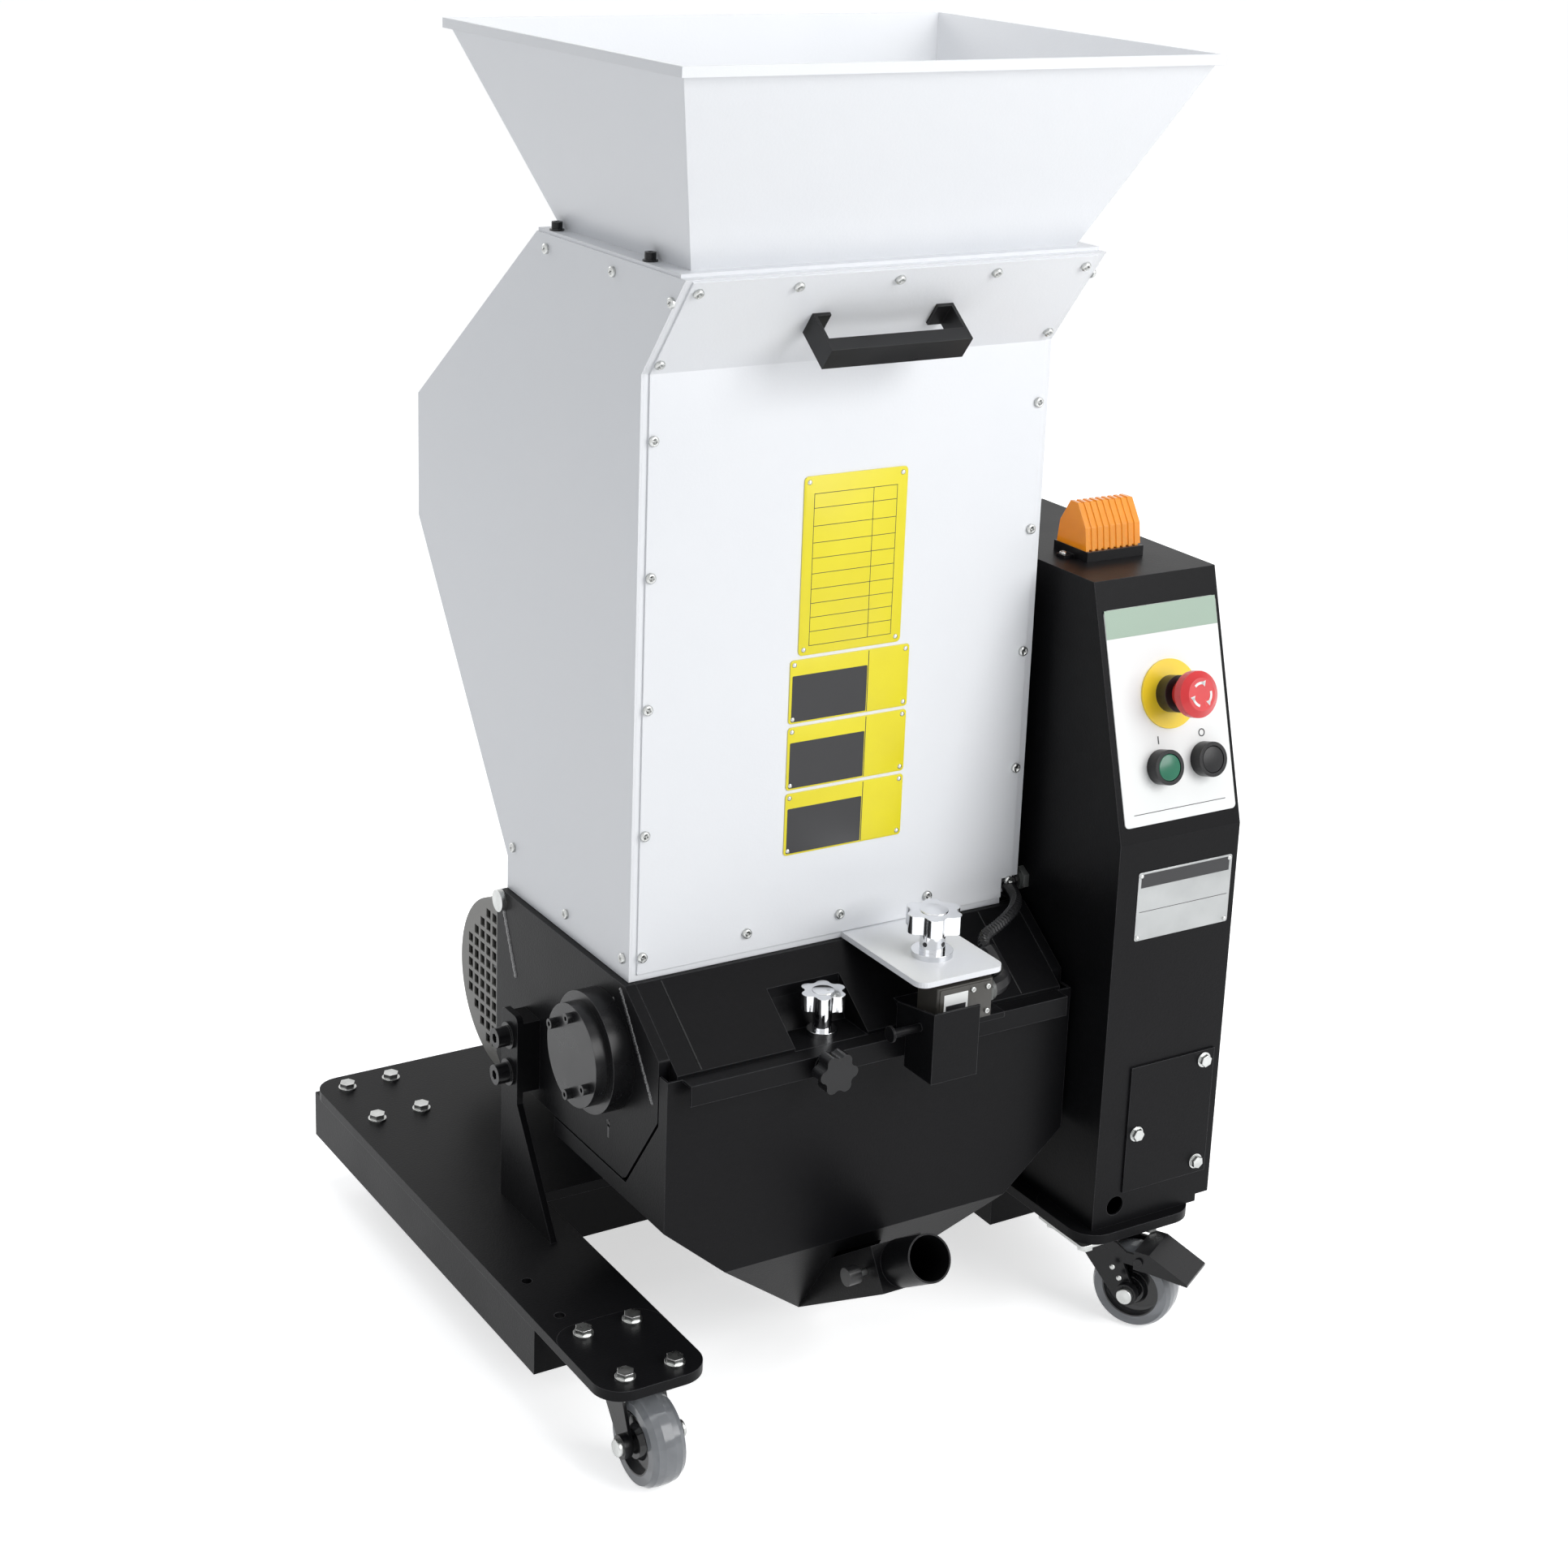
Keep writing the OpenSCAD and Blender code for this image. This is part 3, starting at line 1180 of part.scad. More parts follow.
// Control box: enclosure with a slanted panel
box_right = box_left + box_w;
box_bend = base_top + box_low_h;
box_top = box_bend + box_high_h;
box_slant = box_reach - box_lean;
box_pts = [[-box_reach, base_top], [box_back, base_top], [box_back, box_top], [-box_slant, box_top],
  [-box_reach, box_bend]];
panel_a = 90 - atan2(box_lean, box_high_h);
module on_panel(x, s) {
  translate([x, -box_reach, box_bend]) rotate([panel_a, 0, 0]) translate([0, s, 0]) children();
}
estop_x = 274.5;
estop_s = 122;
start_x = 258;
stop_x = 305.5;
button_s = 61;
stem_d = 8;
estop_stem = 16;
box_hole_d = 112;
belt_slot = [182, 344];
cable_x = 232;
cable_rise = 19;
cable_d = 18;
foot_cut = 14;
module control_box() in_frame() {
  color(black) difference() {
    along_x(box_left, box_right) polygon(box_pts);
    along_x(box_left + box_t, box_right - box_t) polygon(inset(box_pts, box_t));
    bar_x([rotor_y, rotor_z], box_hole_d, box_left - cut, box_left + box_t + cut);
    bar_x([route[route_n - 1][1], route[route_n - 1][2]], conduit_bore, box_left - cut,
      box_left + box_t + cut);
    block(guard_x[0] + guard_t, guard_x[1] - guard_t, box_back - box_t - cut, box_back + cut,
      belt_slot[0], belt_slot[1]);
    bar_y([cable_x, base_top + cable_rise], cable_d, -box_reach - cut, -box_reach + box_t + cut);
    block(box_right - foot_cut, box_right + cut, -box_reach - cut, -box_reach + foot_cut, base_top - cut,
      base_top + foot_cut / 2);
    on_panel(estop_x, estop_s) translate([0, 0, -2 * box_t]) cylinder(d = estop_stem + 2 * gap,
      h = 3 * box_t);
    for (x = [start_x, stop_x]) on_panel(x, button_s) translate([0, 0, -2 * box_t])
      cylinder(d = stem_d + 2 * gap, h = 3 * box_t);
  }
}
access_x = [238, 331];
access_z = [131, 252];
module access_cover() in_frame() {
  color(black) difference() {
    block(access_x[0], access_x[1], -box_reach - cover_t, -box_reach, access_z[0], access_z[1]);
    for (p = access_bolts) bar_y(p, bolt_hole - 2 * gap + 2 * bore_gap, -box_reach - cover_t - cut,
      -box_reach + cut);
  }
}
access_bolts = [[319, 243], [248, 187], [319, 143]];
panel_x = [214, 335];
panel_s = [14, 200];
panel_t = 1;
panel_r = 4;
module control_panel() in_frame() {
  color(white) difference() {
    on_panel(0, 0) linear_extrude(panel_t) polygon(rounded([[panel_x[0], panel_s[0]], [panel_x[1],
      panel_s[0]],
      [panel_x[1], panel_s[1]], [panel_x[0], panel_s[1]]], same(panel_r, 4)));
    on_panel(estop_x, estop_s) translate([0, 0, -cut]) cylinder(d = estop_stem + 2 * gap,
      h = panel_t + 2 * cut);
    for (x = [start_x, stop_x]) on_panel(x, button_s) translate([0, 0, -cut])
      cylinder(d = stem_d + 2 * gap, h = panel_t + 2 * cut);
  }
}
disc_t = 2;
collar_d = 32;
collar_top = 16;
module estop_collar() in_frame() {
  color([0.95, 0.8, 0.1]) on_panel(estop_x, estop_s) difference() {
    union() {
      translate([0, 0, panel_t]) cylinder(d = disc_d, h = disc_t);
      translate([0, 0, panel_t + disc_t]) cylinder(d = collar_d, h = collar_top - panel_t - disc_t);
    }
    translate([0, 0, panel_t - cut]) cylinder(d = estop_stem + 2 * bore_gap, h = collar_top + cut);
  }
}
stem_in = 12;
neck_z = 20;
head_z = 33;
rim_z = 41;
crown_z = 45;
neck_r = 12;
crown_r = 14;
module estop_button() in_frame() {
  color([0.75, 0.1, 0.1]) on_panel(estop_x, estop_s) rotate_extrude() polygon([[0, -stem_in],
    [estop_stem / 2, -stem_in], [estop_stem / 2, neck_z], [neck_r, neck_z], [estop_d / 2, head_z],
    [estop_d / 2, rim_z], [crown_r, crown_z], [0, crown_z]]);
}
bezel_d = 29;
bezel_h = 5;
cap_low = 4.5;
cap_high = 9;
module button_bezels() in_frame() {
  color(black) for (x = [start_x, stop_x]) on_panel(x, button_s) translate([0, 0, panel_t]) difference() {
    cylinder(d = bezel_d, h = bezel_h);
    translate([0, 0, -cut]) cylinder(d = button_d + 2 * bore_gap, h = bezel_h + 2 * cut);
  }
}
module push_button(x) {
  on_panel(x, button_s) {
    translate([0, 0, -stem_in]) cylinder(d = stem_d, h = stem_in + cap_low);
    translate([0, 0, cap_low]) cylinder(d = button_d, h = cap_high - cap_low);
  }
}
module start_button() in_frame() { color([0.1, 0.5, 0.2]) push_button(start_x); }
module stop_button() in_frame() { color(black) push_button(stop_x); }

// Beacon on the control box
beacon_x = [234, 306];
beacon_y = [-12, 36];
beacon_base_h = 9;
beacon_ear = 11;
beacon_ear_t = 3;
lens_h = 40;
lens_in = 6;
lens_top = 10;
lens_ribs = 9;
lens_rib = 1;
module beacon_base() in_frame() {
  color(black) {
    block(beacon_x[0] + beacon_ear / 2, beacon_x[1] - beacon_ear / 2, beacon_y[0], beacon_y[1], box_top,
      box_top + beacon_base_h);
    for (s = [0, 1]) block(s > 0 ? beacon_x[1] - beacon_ear / 2 : beacon_x[0] - beacon_ear / 2,
      s > 0 ? beacon_x[1] + beacon_ear / 2 : beacon_x[0] + beacon_ear / 2,
      (beacon_y[0] + beacon_y[1] - beacon_ear) / 2, (beacon_y[0] + beacon_y[1] + beacon_ear) / 2,
        box_top, box_top + beacon_ear_t);
  }
}
module beacon_lens() in_frame() {
  z0 = box_top + beacon_base_h;
  z1 = z0 + lens_h;
  m = (beacon_y[0] + beacon_y[1]) / 2;
  y0 = beacon_y[0] + lens_in / 2;
  y1 = beacon_y[1] - lens_in / 2;
  x0 = beacon_x[0] + lens_in;
  len_x = beacon_x[1] - beacon_x[0] - 2 * lens_in;
  pts = [[y0, z0], [y1, z0], [y1 - lens_in / 2, z0 + lens_h / 2], [m + lens_top / 2, z1],
    [m - lens_top / 2, z1],
    [y0 + lens_in / 2, z0 + lens_h / 2]];
  color([0.9, 0.5, 0.05]) {
    along_x(x0, x0 + len_x) polygon(inset(pts, lens_rib));
    for (i = [0:lens_ribs - 1]) along_x(x0 + len_x * i / lens_ribs, x0 + len_x * (2 * i + 1)
      / (2 * lens_ribs)) polygon(pts);
  }
}

// Material bin: open box with a folded lip
bin_half = ch_out;
bin_y = slope_y + gap + bin_t;
bin_drop = 54;
bin_shoulder_h = 83;
bin_rim_gap = 2;
bin_top = hop_z - bin_drop;
bin_shoulder = base_top + bin_shoulder_h;
bin_rim = plate_low - bin_rim_gap;
bin_inner_foot = 13;
bin_rear_foot = 30;
bin_front_gap = 2;
lip_out = 14;
lip_drop = 18;
lip_half = 187;
bin_side = [[-bin_half, bin_shoulder], [-bin_foot_w, bin_low], [bin_foot_w, bin_low], [bin_half,
  bin_shoulder]];
bin_low_pts = [[-bin_y, bin_fold], [-bin_inner_foot, bin_low], [bin_rear_foot, bin_low], [bin_back,
  bin_shoulder]];
duct_pts = [[-bin_inner_foot, bin_low], [-61, 104.4], [-120, 146], [-142, 112]];
module bin_cavity(t) {
  intersection() {
    along_x(-bin_half, bin_half) polygon(inset(concat([[-bin_y, hop_z]], bin_low_pts, [[bin_back,
      hop_z]]), t));
    along_y(-bin_y - cut, bin_back + cut) polygon(inset(concat(bin_side, [[bin_half, hop_z], [-bin_half,
      hop_z]]), t));
  }
}
function duct_in(e) = let (c = inset(duct_pts, bin_t)) [c[0] + [e, 0], c[1] + [e, 0], c[2], c[3]];
module material_bin() in_frame() {
  y2 = -plate_front - bin_front_gap;
  y3 = toe_y - bin_front_gap;
  y4 = -bin_y - lip_out;
  color(black) difference() {
    union() {
      intersection() {
        along_x(-bin_half, bin_half) polygon(concat([[-bin_y, bin_top]], bin_low_pts, [[bin_back,
          bin_rim], [y3, bin_rim],
          [y2, hop_z - nose_low - bin_front_gap], [y2, bin_top]]));
        along_y(-bin_y - cut, bin_back + cut) polygon(concat(bin_side, [[bin_half, bin_top], [-bin_half,
          bin_top]]));
      }
      along_x(-lip_half, lip_half) polygon([[-bin_y, bin_top], [y4, bin_top], [y4, bin_top - lip_drop],
        [y4 + bin_t, bin_top - lip_drop], [y4 + bin_t, bin_top - bin_t], [-bin_y, bin_top - bin_t]]);
    }
    bin_cavity(bin_t);
    along_x(-bin_foot_w + bin_t, bin_foot_w - bin_t) polygon(duct_in(6 * bin_t));
    bar_y([bin_knob_x, bin_knob_z], bin_stud + 2 * bore_gap, y4 - cut, -bin_y + bin_t + cut);
  }
}
tube_mid = (duct_pts[2] + duct_pts[3]) / 2;
screw_d = 6;
outlet_screw = [-114, 119];
module tube_place() { translate([0, tube_mid[0], tube_mid[1]]) rotate([90 - tube_rise, 0, 0]) children(); }
module bin_outlet() in_frame() {
  w = bin_foot_w;
  color(black) difference() {
    union() {
      along_x(-w, w) polygon(duct_pts);
      tube_place() cylinder(d = tube_d, h = tube_len);
    }
    along_x(-w + bin_t, w - bin_t) polygon(duct_in(2 * bin_t));
    tube_place() translate([0, 0, -2 * bin_t]) cylinder(d = tube_d - 2 * tube_t, h = tube_len + 3 * bin_t);
    bar_x(outlet_screw, screw_d + 2 * bore_gap, -w - cut, -w + bin_t + cut);
  }
}
thumb_d = 16;
thumb_h = 12;
thumb_gap = 8;
module outlet_thumb_screw() in_frame() {
  w = bin_foot_w + thumb_gap;
  color(steel) {
    bar_x(outlet_screw, thumb_d, -w - thumb_h, -w);
    bar_x(outlet_screw, screw_d, -w, -bin_foot_w + 3 * bin_t);
  }
}
guard_left = 18;
guard_right = 64;
guard_reach = 133;
guard_low = 28;
guard_high = 35;
guard_back_high = 25;
key_drop = 38;
key_z = hop_z - key_drop;
key_y = -113;
key_d = 7;
key_ring = 14;
key_x = [-10, 26];
// Guard in front of the switch, with the key that works it
module bin_guard() in_frame() {
  y4 = -bin_y - lip_out;
  z0 = bin_top - guard_low;
  z1 = bin_top + guard_high;
  color(black) {
    along_x(guard_left, guard_left + bin_t) polygon([[-guard_reach, z0], [y4, z0], [y4, bin_top],
      [-bin_y, bin_top],
      [-bin_y, bin_top + guard_back_high], [-guard_reach, z1]]);
    block(guard_left + bin_t, guard_right, -guard_reach, -guard_reach + bin_t, z0, z1);
  }
  color(steel) {
    bar_x([key_y, key_z], key_d, key_x[0], guard_left);
    bar_x([key_y, key_z], key_ring, key_x[0] - bin_t, key_x[0]);
    bar_x([key_y, key_z], key_d, guard_left + bin_t, key_x[1]);
  }
}
bin_knob_d = 36;
bin_knob_head = 14;
bin_knob_stem = 7;
bin_knob_stem_d = 14;
module bin_lock_knob() in_frame() {
  y4 = -bin_y - lip_out;
  color(black) translate([bin_knob_x, y4, bin_knob_z]) rotate([90, 0, 0])
    star_knob(bin_knob_d, 6, bin_knob_head, bin_knob_stem_d, bin_knob_stem, bin_stud,
      lip_out + bin_t + bin_stud_in - 2 * cut);
}

echo("hinge", [0, hinge_y, hinge_z]);
echo("rotor", [0, rotor_y, rotor_z], "motor", [0, motor_y, motor_z]);
echo("ratio", (pulley_big / 2 - groove + gap + belt_t / 2)
  / (pulley_small / 2 - groove + gap + belt_t / 2));
echo("lock_knob", [knob_x, knob_y, hop_z + tab_t], "screen_knob", [screen_knob_x, screen_knob_y, pocket_z]);
echo("bin_knob", [bin_knob_x, -bin_y - lip_out, bin_knob_z], "thumb", [-bin_foot_w, outlet_screw[0],
  outlet_screw[1]]);
echo("panel_origin", [0, -box_reach, box_bend], "panel_a", panel_a, "normal", [0, -sin(panel_a),
  cos(panel_a)]);
echo("casters", caster_x, -caster_front, caster_rear, "trail", caster_trail, "axle_z", axle_z,
  "fork_top", fork_top);
echo("pedal", [caster_x, -caster_front, pedal_pin_z], pedal_pin_y, right_turn);
echo("tube_mid", tube_mid, tube_rise, tube_len, "top", top_z + funnel_h, "bin_y", bin_y);

base_plate();
base_skirt();
uprights();
socket_screws();
caster_plates();
rear_forks();
hex_bolts();
chamber_left_plate();
chamber_right_plate();
chamber_front_wall();
chamber_rear_wall();
bearing_housings();
bearing_caps();
fixed_knives();
screen();
screen_cradle();
motor_housing();
motor_fan_cover();
terminal_box();
drive_belt();
belt_guard();
hopper_hinge();
safety_switch();
switch_bracket();
switch_conduit();
control_box();
access_cover();
control_panel();
estop_collar();
button_bezels();
beacon_base();
beacon_lens();
rotor();
rotor_knives();
rotor_pulley();
motor_shaft();
hopper_shell();
hopper_front_cover();
hopper_side_covers();
feed_funnel();
funnel_bolts();
hopper_handle();
hopper_lock_tab();
hopper_lock_knob();
screen_lock_knob();
bin_lock_knob();
outlet_thumb_screw();
estop_button();
start_button();
stop_button();
material_bin();
bin_outlet();
bin_guard();
caster_fork_fl();
caster_fork_fr();
wheel_fl();
wheel_fr();
wheel_rl();
wheel_rr();
brake_pedal();
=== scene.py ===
# %% [markdown]
# # Dressing a plastic granulator
# The machine is a folded sheet-metal hopper over a cutting chamber, with a
# control box, a motor with a belt drive, a bin and four casters. Its solids
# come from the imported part, so this lesson only adds finishes and the small
# things that a maker fits last: screws, bare plates, weld beads, glands.
# The scene is in metres, with +Z up and the front looking towards -Y.

import math

import bpy
from mathutils import Matrix, Vector


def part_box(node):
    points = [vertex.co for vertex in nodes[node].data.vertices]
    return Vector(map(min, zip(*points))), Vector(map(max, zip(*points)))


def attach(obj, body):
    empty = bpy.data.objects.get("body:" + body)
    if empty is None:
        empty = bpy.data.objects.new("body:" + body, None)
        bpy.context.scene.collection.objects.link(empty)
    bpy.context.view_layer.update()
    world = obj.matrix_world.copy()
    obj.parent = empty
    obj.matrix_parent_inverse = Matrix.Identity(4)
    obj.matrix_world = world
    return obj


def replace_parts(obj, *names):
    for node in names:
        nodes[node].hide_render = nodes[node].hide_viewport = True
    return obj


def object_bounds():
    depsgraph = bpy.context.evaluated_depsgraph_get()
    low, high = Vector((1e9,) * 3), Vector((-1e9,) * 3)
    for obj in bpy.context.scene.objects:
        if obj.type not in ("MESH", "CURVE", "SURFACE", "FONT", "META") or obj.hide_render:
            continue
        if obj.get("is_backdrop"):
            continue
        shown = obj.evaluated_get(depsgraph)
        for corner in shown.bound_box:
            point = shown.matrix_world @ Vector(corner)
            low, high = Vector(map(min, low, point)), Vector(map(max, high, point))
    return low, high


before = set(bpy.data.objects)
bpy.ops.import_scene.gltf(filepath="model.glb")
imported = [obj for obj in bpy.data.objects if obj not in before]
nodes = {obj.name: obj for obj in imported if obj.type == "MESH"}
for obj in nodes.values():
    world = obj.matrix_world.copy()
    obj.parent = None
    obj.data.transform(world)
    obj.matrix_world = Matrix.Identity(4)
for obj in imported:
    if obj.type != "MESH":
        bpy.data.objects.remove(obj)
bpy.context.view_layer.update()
MM = 0.001
cover_low, cover_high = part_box("hopper_front_cover")
HOME = Vector(((cover_low[0] + cover_high[0]) / 2, cover_high[1], 0))
print("hopper's front middle:", [round(v, 5) for v in HOME])

# %% [markdown]
# ## Camera
# A tall machine is photographed from a little above its middle. The place,
# the turn and the lens were worked out from edges whose real positions are
# known. The lens is moved up a little in its mount, which keeps the upright
# edges nearly upright, and that is what the shift stands for.

# %% Camera
FRAME_PIXELS = 1932
LENS_PIXELS = 3346.2
CENTRE_ROW = 750
CAMERA_PLACE = Vector((-1174.6, -1787.7, 1305.2)) * MM + HOME
YAW, PITCH, ROLL = 0.558, 0.291, 0.037


def look_matrix(place, yaw, pitch, roll):
    """The camera's place and turn as one matrix: columns are right, up and back."""
    ahead = Vector((math.sin(yaw) * math.cos(pitch), math.cos(yaw) * math.cos(pitch), -math.sin(pitch)))
    level = Vector((math.cos(yaw), -math.sin(yaw), 0))
    upright = level.cross(ahead)
    right = level * math.cos(roll) + upright * math.sin(roll)
    up = upright * math.cos(roll) - level * math.sin(roll)
    turn = Matrix((right, up, -ahead)).transposed().to_4x4()
    return Matrix.Translation(place) @ turn


bpy.ops.object.select_all(action="DESELECT")
bpy.ops.object.camera_add()
camera = bpy.context.active_object
camera.name = "camera"
camera.matrix_world = look_matrix(CAMERA_PLACE, YAW, PITCH, ROLL)
camera.data.sensor_width = 36
camera.data.lens = LENS_PIXELS / FRAME_PIXELS * camera.data.sensor_width
camera.data.shift_y = (CENTRE_ROW - FRAME_PIXELS / 2) / FRAME_PIXELS
bpy.context.scene.camera = camera
print("lens", round(camera.data.lens, 1), "mm, shift", round(camera.data.shift_y, 3))

# %% [markdown]
# ## Studio
# A pale room of light shows powder coat best: broad soft lamps, no hard
# shadows. The floor and the world are white only to the camera and in
# reflections, so the white doesn't come from extra light on the machine.

# %% Studio
WORLD_LIGHT, WORLD_TINT = 0.40, (0.93, 0.96, 1, 1)
FLOOR_GLOW, FLOOR_TINT, FLOOR_SIZE = 0.62, (0.9, 0.9, 0.9, 1), 80
LAMPS = (
    # name, place, size, watts
    ("lamp_front_right", (1.3, -2.6, 1.9), 2.0, 66),
    ("lamp_left", (-2.9, -0.9, 1.9), 1.8, 6),
    ("lamp_above", (0.3, 0.2, 3.3), 2.4, 34),
    ("lamp_back", (-0.6, 2.8, 1.8), 1.8, 22),
)


def seen_ray(tree):
    """1 for rays from the camera and for those off metal or through glass, 0 otherwise."""
    path = tree.nodes.new("ShaderNodeLightPath")
    either = path.outputs["Is Camera Ray"]
    for kind in ("Is Glossy Ray", "Is Transmission Ray"):
        larger = tree.nodes.new("ShaderNodeMath")
        larger.operation = "MAXIMUM"
        tree.links.new(either, larger.inputs[0])
        tree.links.new(path.outputs[kind], larger.inputs[1])
        either = larger.outputs[0]
    return either


world = bpy.data.worlds.new("pale_room")
bpy.context.scene.world = world
world.use_nodes = True
tree = world.node_tree
tree.nodes["Background"].inputs["Color"].default_value = WORLD_TINT
tree.nodes["Background"].inputs["Strength"].default_value = WORLD_LIGHT
white = tree.nodes.new("ShaderNodeBackground")
white.inputs["Color"].default_value = (1, 1, 1, 1)
mix = tree.nodes.new("ShaderNodeMixShader")
tree.links.new(seen_ray(tree), mix.inputs[0])
tree.links.new(tree.nodes["Background"].outputs[0], mix.inputs[1])
tree.links.new(white.outputs[0], mix.inputs[2])
tree.links.new(mix.outputs[0], tree.nodes["World Output"].inputs["Surface"])

MACHINE_MIDDLE = Vector((0, 0.1, 0.55))
for name, place, size, watts in LAMPS:
    bpy.ops.object.light_add(type="AREA", location=place)
    lamp = bpy.context.active_object
    lamp.name = name
    lamp.data.shape = "SQUARE"
    lamp.data.size = size
    lamp.data.energy = watts
    lamp.rotation_euler = (MACHINE_MIDDLE - Vector(place)).to_track_quat("-Z", "Y").to_euler()

bpy.ops.mesh.primitive_plane_add(size=FLOOR_SIZE, location=(0, 1, 0))
floor = bpy.context.active_object
floor.name = "studio_floor"
paint = bpy.data.materials.new("studio_floor")
paint.use_nodes = True
tree = paint.node_tree
tree.nodes["Principled BSDF"].inputs["Base Color"].default_value = FLOOR_TINT
tree.nodes["Principled BSDF"].inputs["Roughness"].default_value = 0.9
glow = tree.nodes.new("ShaderNodeEmission")
glow.inputs["Strength"].default_value = FLOOR_GLOW
both = tree.nodes.new("ShaderNodeAddShader")
tree.links.new(tree.nodes["Principled BSDF"].outputs[0], both.inputs[0])
tree.links.new(glow.outputs[0], both.inputs[1])
mix = tree.nodes.new("ShaderNodeMixShader")
tree.links.new(seen_ray(tree), mix.inputs[0])
tree.links.new(tree.nodes["Principled BSDF"].outputs[0], mix.inputs[1])
tree.links.new(both.outputs[0], mix.inputs[2])
tree.links.new(mix.outputs[0], tree.nodes["Material Output"].inputs["Surface"])
floor.data.materials.append(paint)
floor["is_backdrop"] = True
bpy.context.scene.view_settings.view_transform = "Standard"
print("lamps:", len(LAMPS))

# %% [markdown]
# ## Effects that many finishes share
# Powder coat, castings, moulded plastic and plated screws all show the same
# few effects at other scales: a slow mottle in the colour, a fine grain in
# the surface, and brighter corners, which are wear on most finishes and a
# painted highlight on the weld beads. Each is a node group built once.
# The corner mask compares the true normal with a rounded one, because the
# solids have few faces and a value kept at their corners would smear.


# %% Node groups
def new_group(name, inputs, outputs):
    """An empty shader node group with number inputs and named outputs."""
    group = bpy.data.node_groups.new(name, "ShaderNodeTree")
    for title, value in inputs:
        socket = group.interface.new_socket(title, in_out="INPUT", socket_type="NodeSocketFloat")
        socket.default_value = value
    for title in outputs:
        group.interface.new_socket(title, in_out="OUTPUT", socket_type="NodeSocketFloat")
    return group, group.nodes.new("NodeGroupInput"), group.nodes.new("NodeGroupOutput")


def maths(tree, operation, first, second=None):
    """One Math node; each side is a number or a socket."""
    step = tree.nodes.new("ShaderNodeMath")
    step.operation = operation
    for place, value in enumerate((first, second)):
        if value is None:
            continue
        if isinstance(value, (int, float)):
            step.inputs[place].default_value = value
        else:
            tree.links.new(value, step.inputs[place])
    return step.outputs[0]


def noise(tree, scale, detail, roughness=0.5):
    """A Noise Texture on Object coordinates."""
    place = tree.nodes.new("ShaderNodeTexCoord")
    cloud = tree.nodes.new("ShaderNodeTexNoise")
    cloud.inputs["Detail"].default_value = detail
    cloud.inputs["Roughness"].default_value = roughness
    tree.links.new(place.outputs["Object"], cloud.inputs["Vector"])
    if isinstance(scale, (int, float)):
        cloud.inputs["Scale"].default_value = scale
    else:
        tree.links.new(scale, cloud.inputs["Scale"])
    return cloud.outputs[0]


def mottle_group():
    """Slow clouds, 0 to 1, for colour and gloss that vary over a panel."""
    group, given, out = new_group("mottle", [("Scale", 12.0), ("Contrast", 1.0)], ["Value"])
    cloud = noise(group, given.outputs["Scale"], 3)
    centred = maths(group, "SUBTRACT", cloud, 0.5)
    spread = maths(group, "MULTIPLY", centred, given.outputs["Contrast"])
    group.links.new(maths(group, "ADD", spread, 0.5), out.inputs["Value"])
    return group


def grain_group():
    """The height of a sprayed or cast skin: small bumps over smaller ones."""
    group, given, out = new_group("grain", [("Scale", 400.0), ("Fine", 0.5)], ["Height"])
    wide = noise(group, given.outputs["Scale"], 1)
    narrow = noise(group, maths(group, "MULTIPLY", given.outputs["Scale"], 3.1), 1)
    some = maths(group, "MULTIPLY", narrow, given.outputs["Fine"])
    group.links.new(maths(group, "ADD", wide, some), out.inputs["Height"])
    return group


def wear_and_highlight_group():
    """1 on corners worn by hands and tools, and on the weld beads' painted highlight, broken up by a
    cloud, 0 elsewhere.
    """
    group, given, out = new_group("wear_and_highlight_corners", [("Radius", 0.0008), ("Amount", 1.0)], ["Mask"])
    soft = group.nodes.new("ShaderNodeBevel")
    soft.samples = 4
    group.links.new(given.outputs["Radius"], soft.inputs["Radius"])
    sharp = group.nodes.new("ShaderNodeNewGeometry")
    dot = group.nodes.new("ShaderNodeVectorMath")
    dot.operation = "DOT_PRODUCT"
    group.links.new(soft.outputs["Normal"], dot.inputs[0])
    group.links.new(sharp.outputs["Normal"], dot.inputs[1])
    turn = maths(group, "SUBTRACT", 1.0, dot.outputs["Value"])
    strong = maths(group, "MULTIPLY", turn, 6.0)
    cloud = maths(group, "MULTIPLY", noise(group, 60.0, 3), given.outputs["Amount"])
    mask = maths(group, "MULTIPLY", strong, cloud)
    last = maths(group, "MINIMUM", mask, 1.0)
    group.links.new(last, out.inputs["Mask"])
    return group


MOTTLE, GRAIN, WEAR_AND_HIGHLIGHT = mottle_group(), grain_group(), wear_and_highlight_group()
print("groups:", [g.name for g in (MOTTLE, GRAIN, WEAR_AND_HIGHLIGHT)])

# %% [markdown]
# ## One recipe, many finishes
# A finish is two close colours mixed by the mottle, a gloss that wanders a
# little, a grain at its real size, and brighter corners in their own colour:
# wear on most finishes, a painted highlight on the weld beads.
# Powder coat has grains of about a millimetre; plating has almost none.


# %% Finish recipe
def group_node(tree, group, **values):
    """Places a node group with its own values."""
    node = tree.nodes.new("ShaderNodeGroup")
    node.node_tree = group
    for title, value in values.items():
        node.inputs[title].default_value = value
    return node.outputs[0]


def blend(tree, mask, first, second):
    """Mixes two colours, each a tuple or a socket, by a mask."""
    mix = tree.nodes.new("ShaderNodeMix")
    mix.data_type = "RGBA"
    if isinstance(mask, (int, float)):
        mix.inputs[0].default_value = mask
    else:
        tree.links.new(mask, mix.inputs[0])
    for place, value in ((6, first), (7, second)):
        if isinstance(value, tuple):
            mix.inputs[place].default_value = (*value, 1)
        else:
            tree.links.new(value, mix.inputs[place])
    return mix.outputs[2]


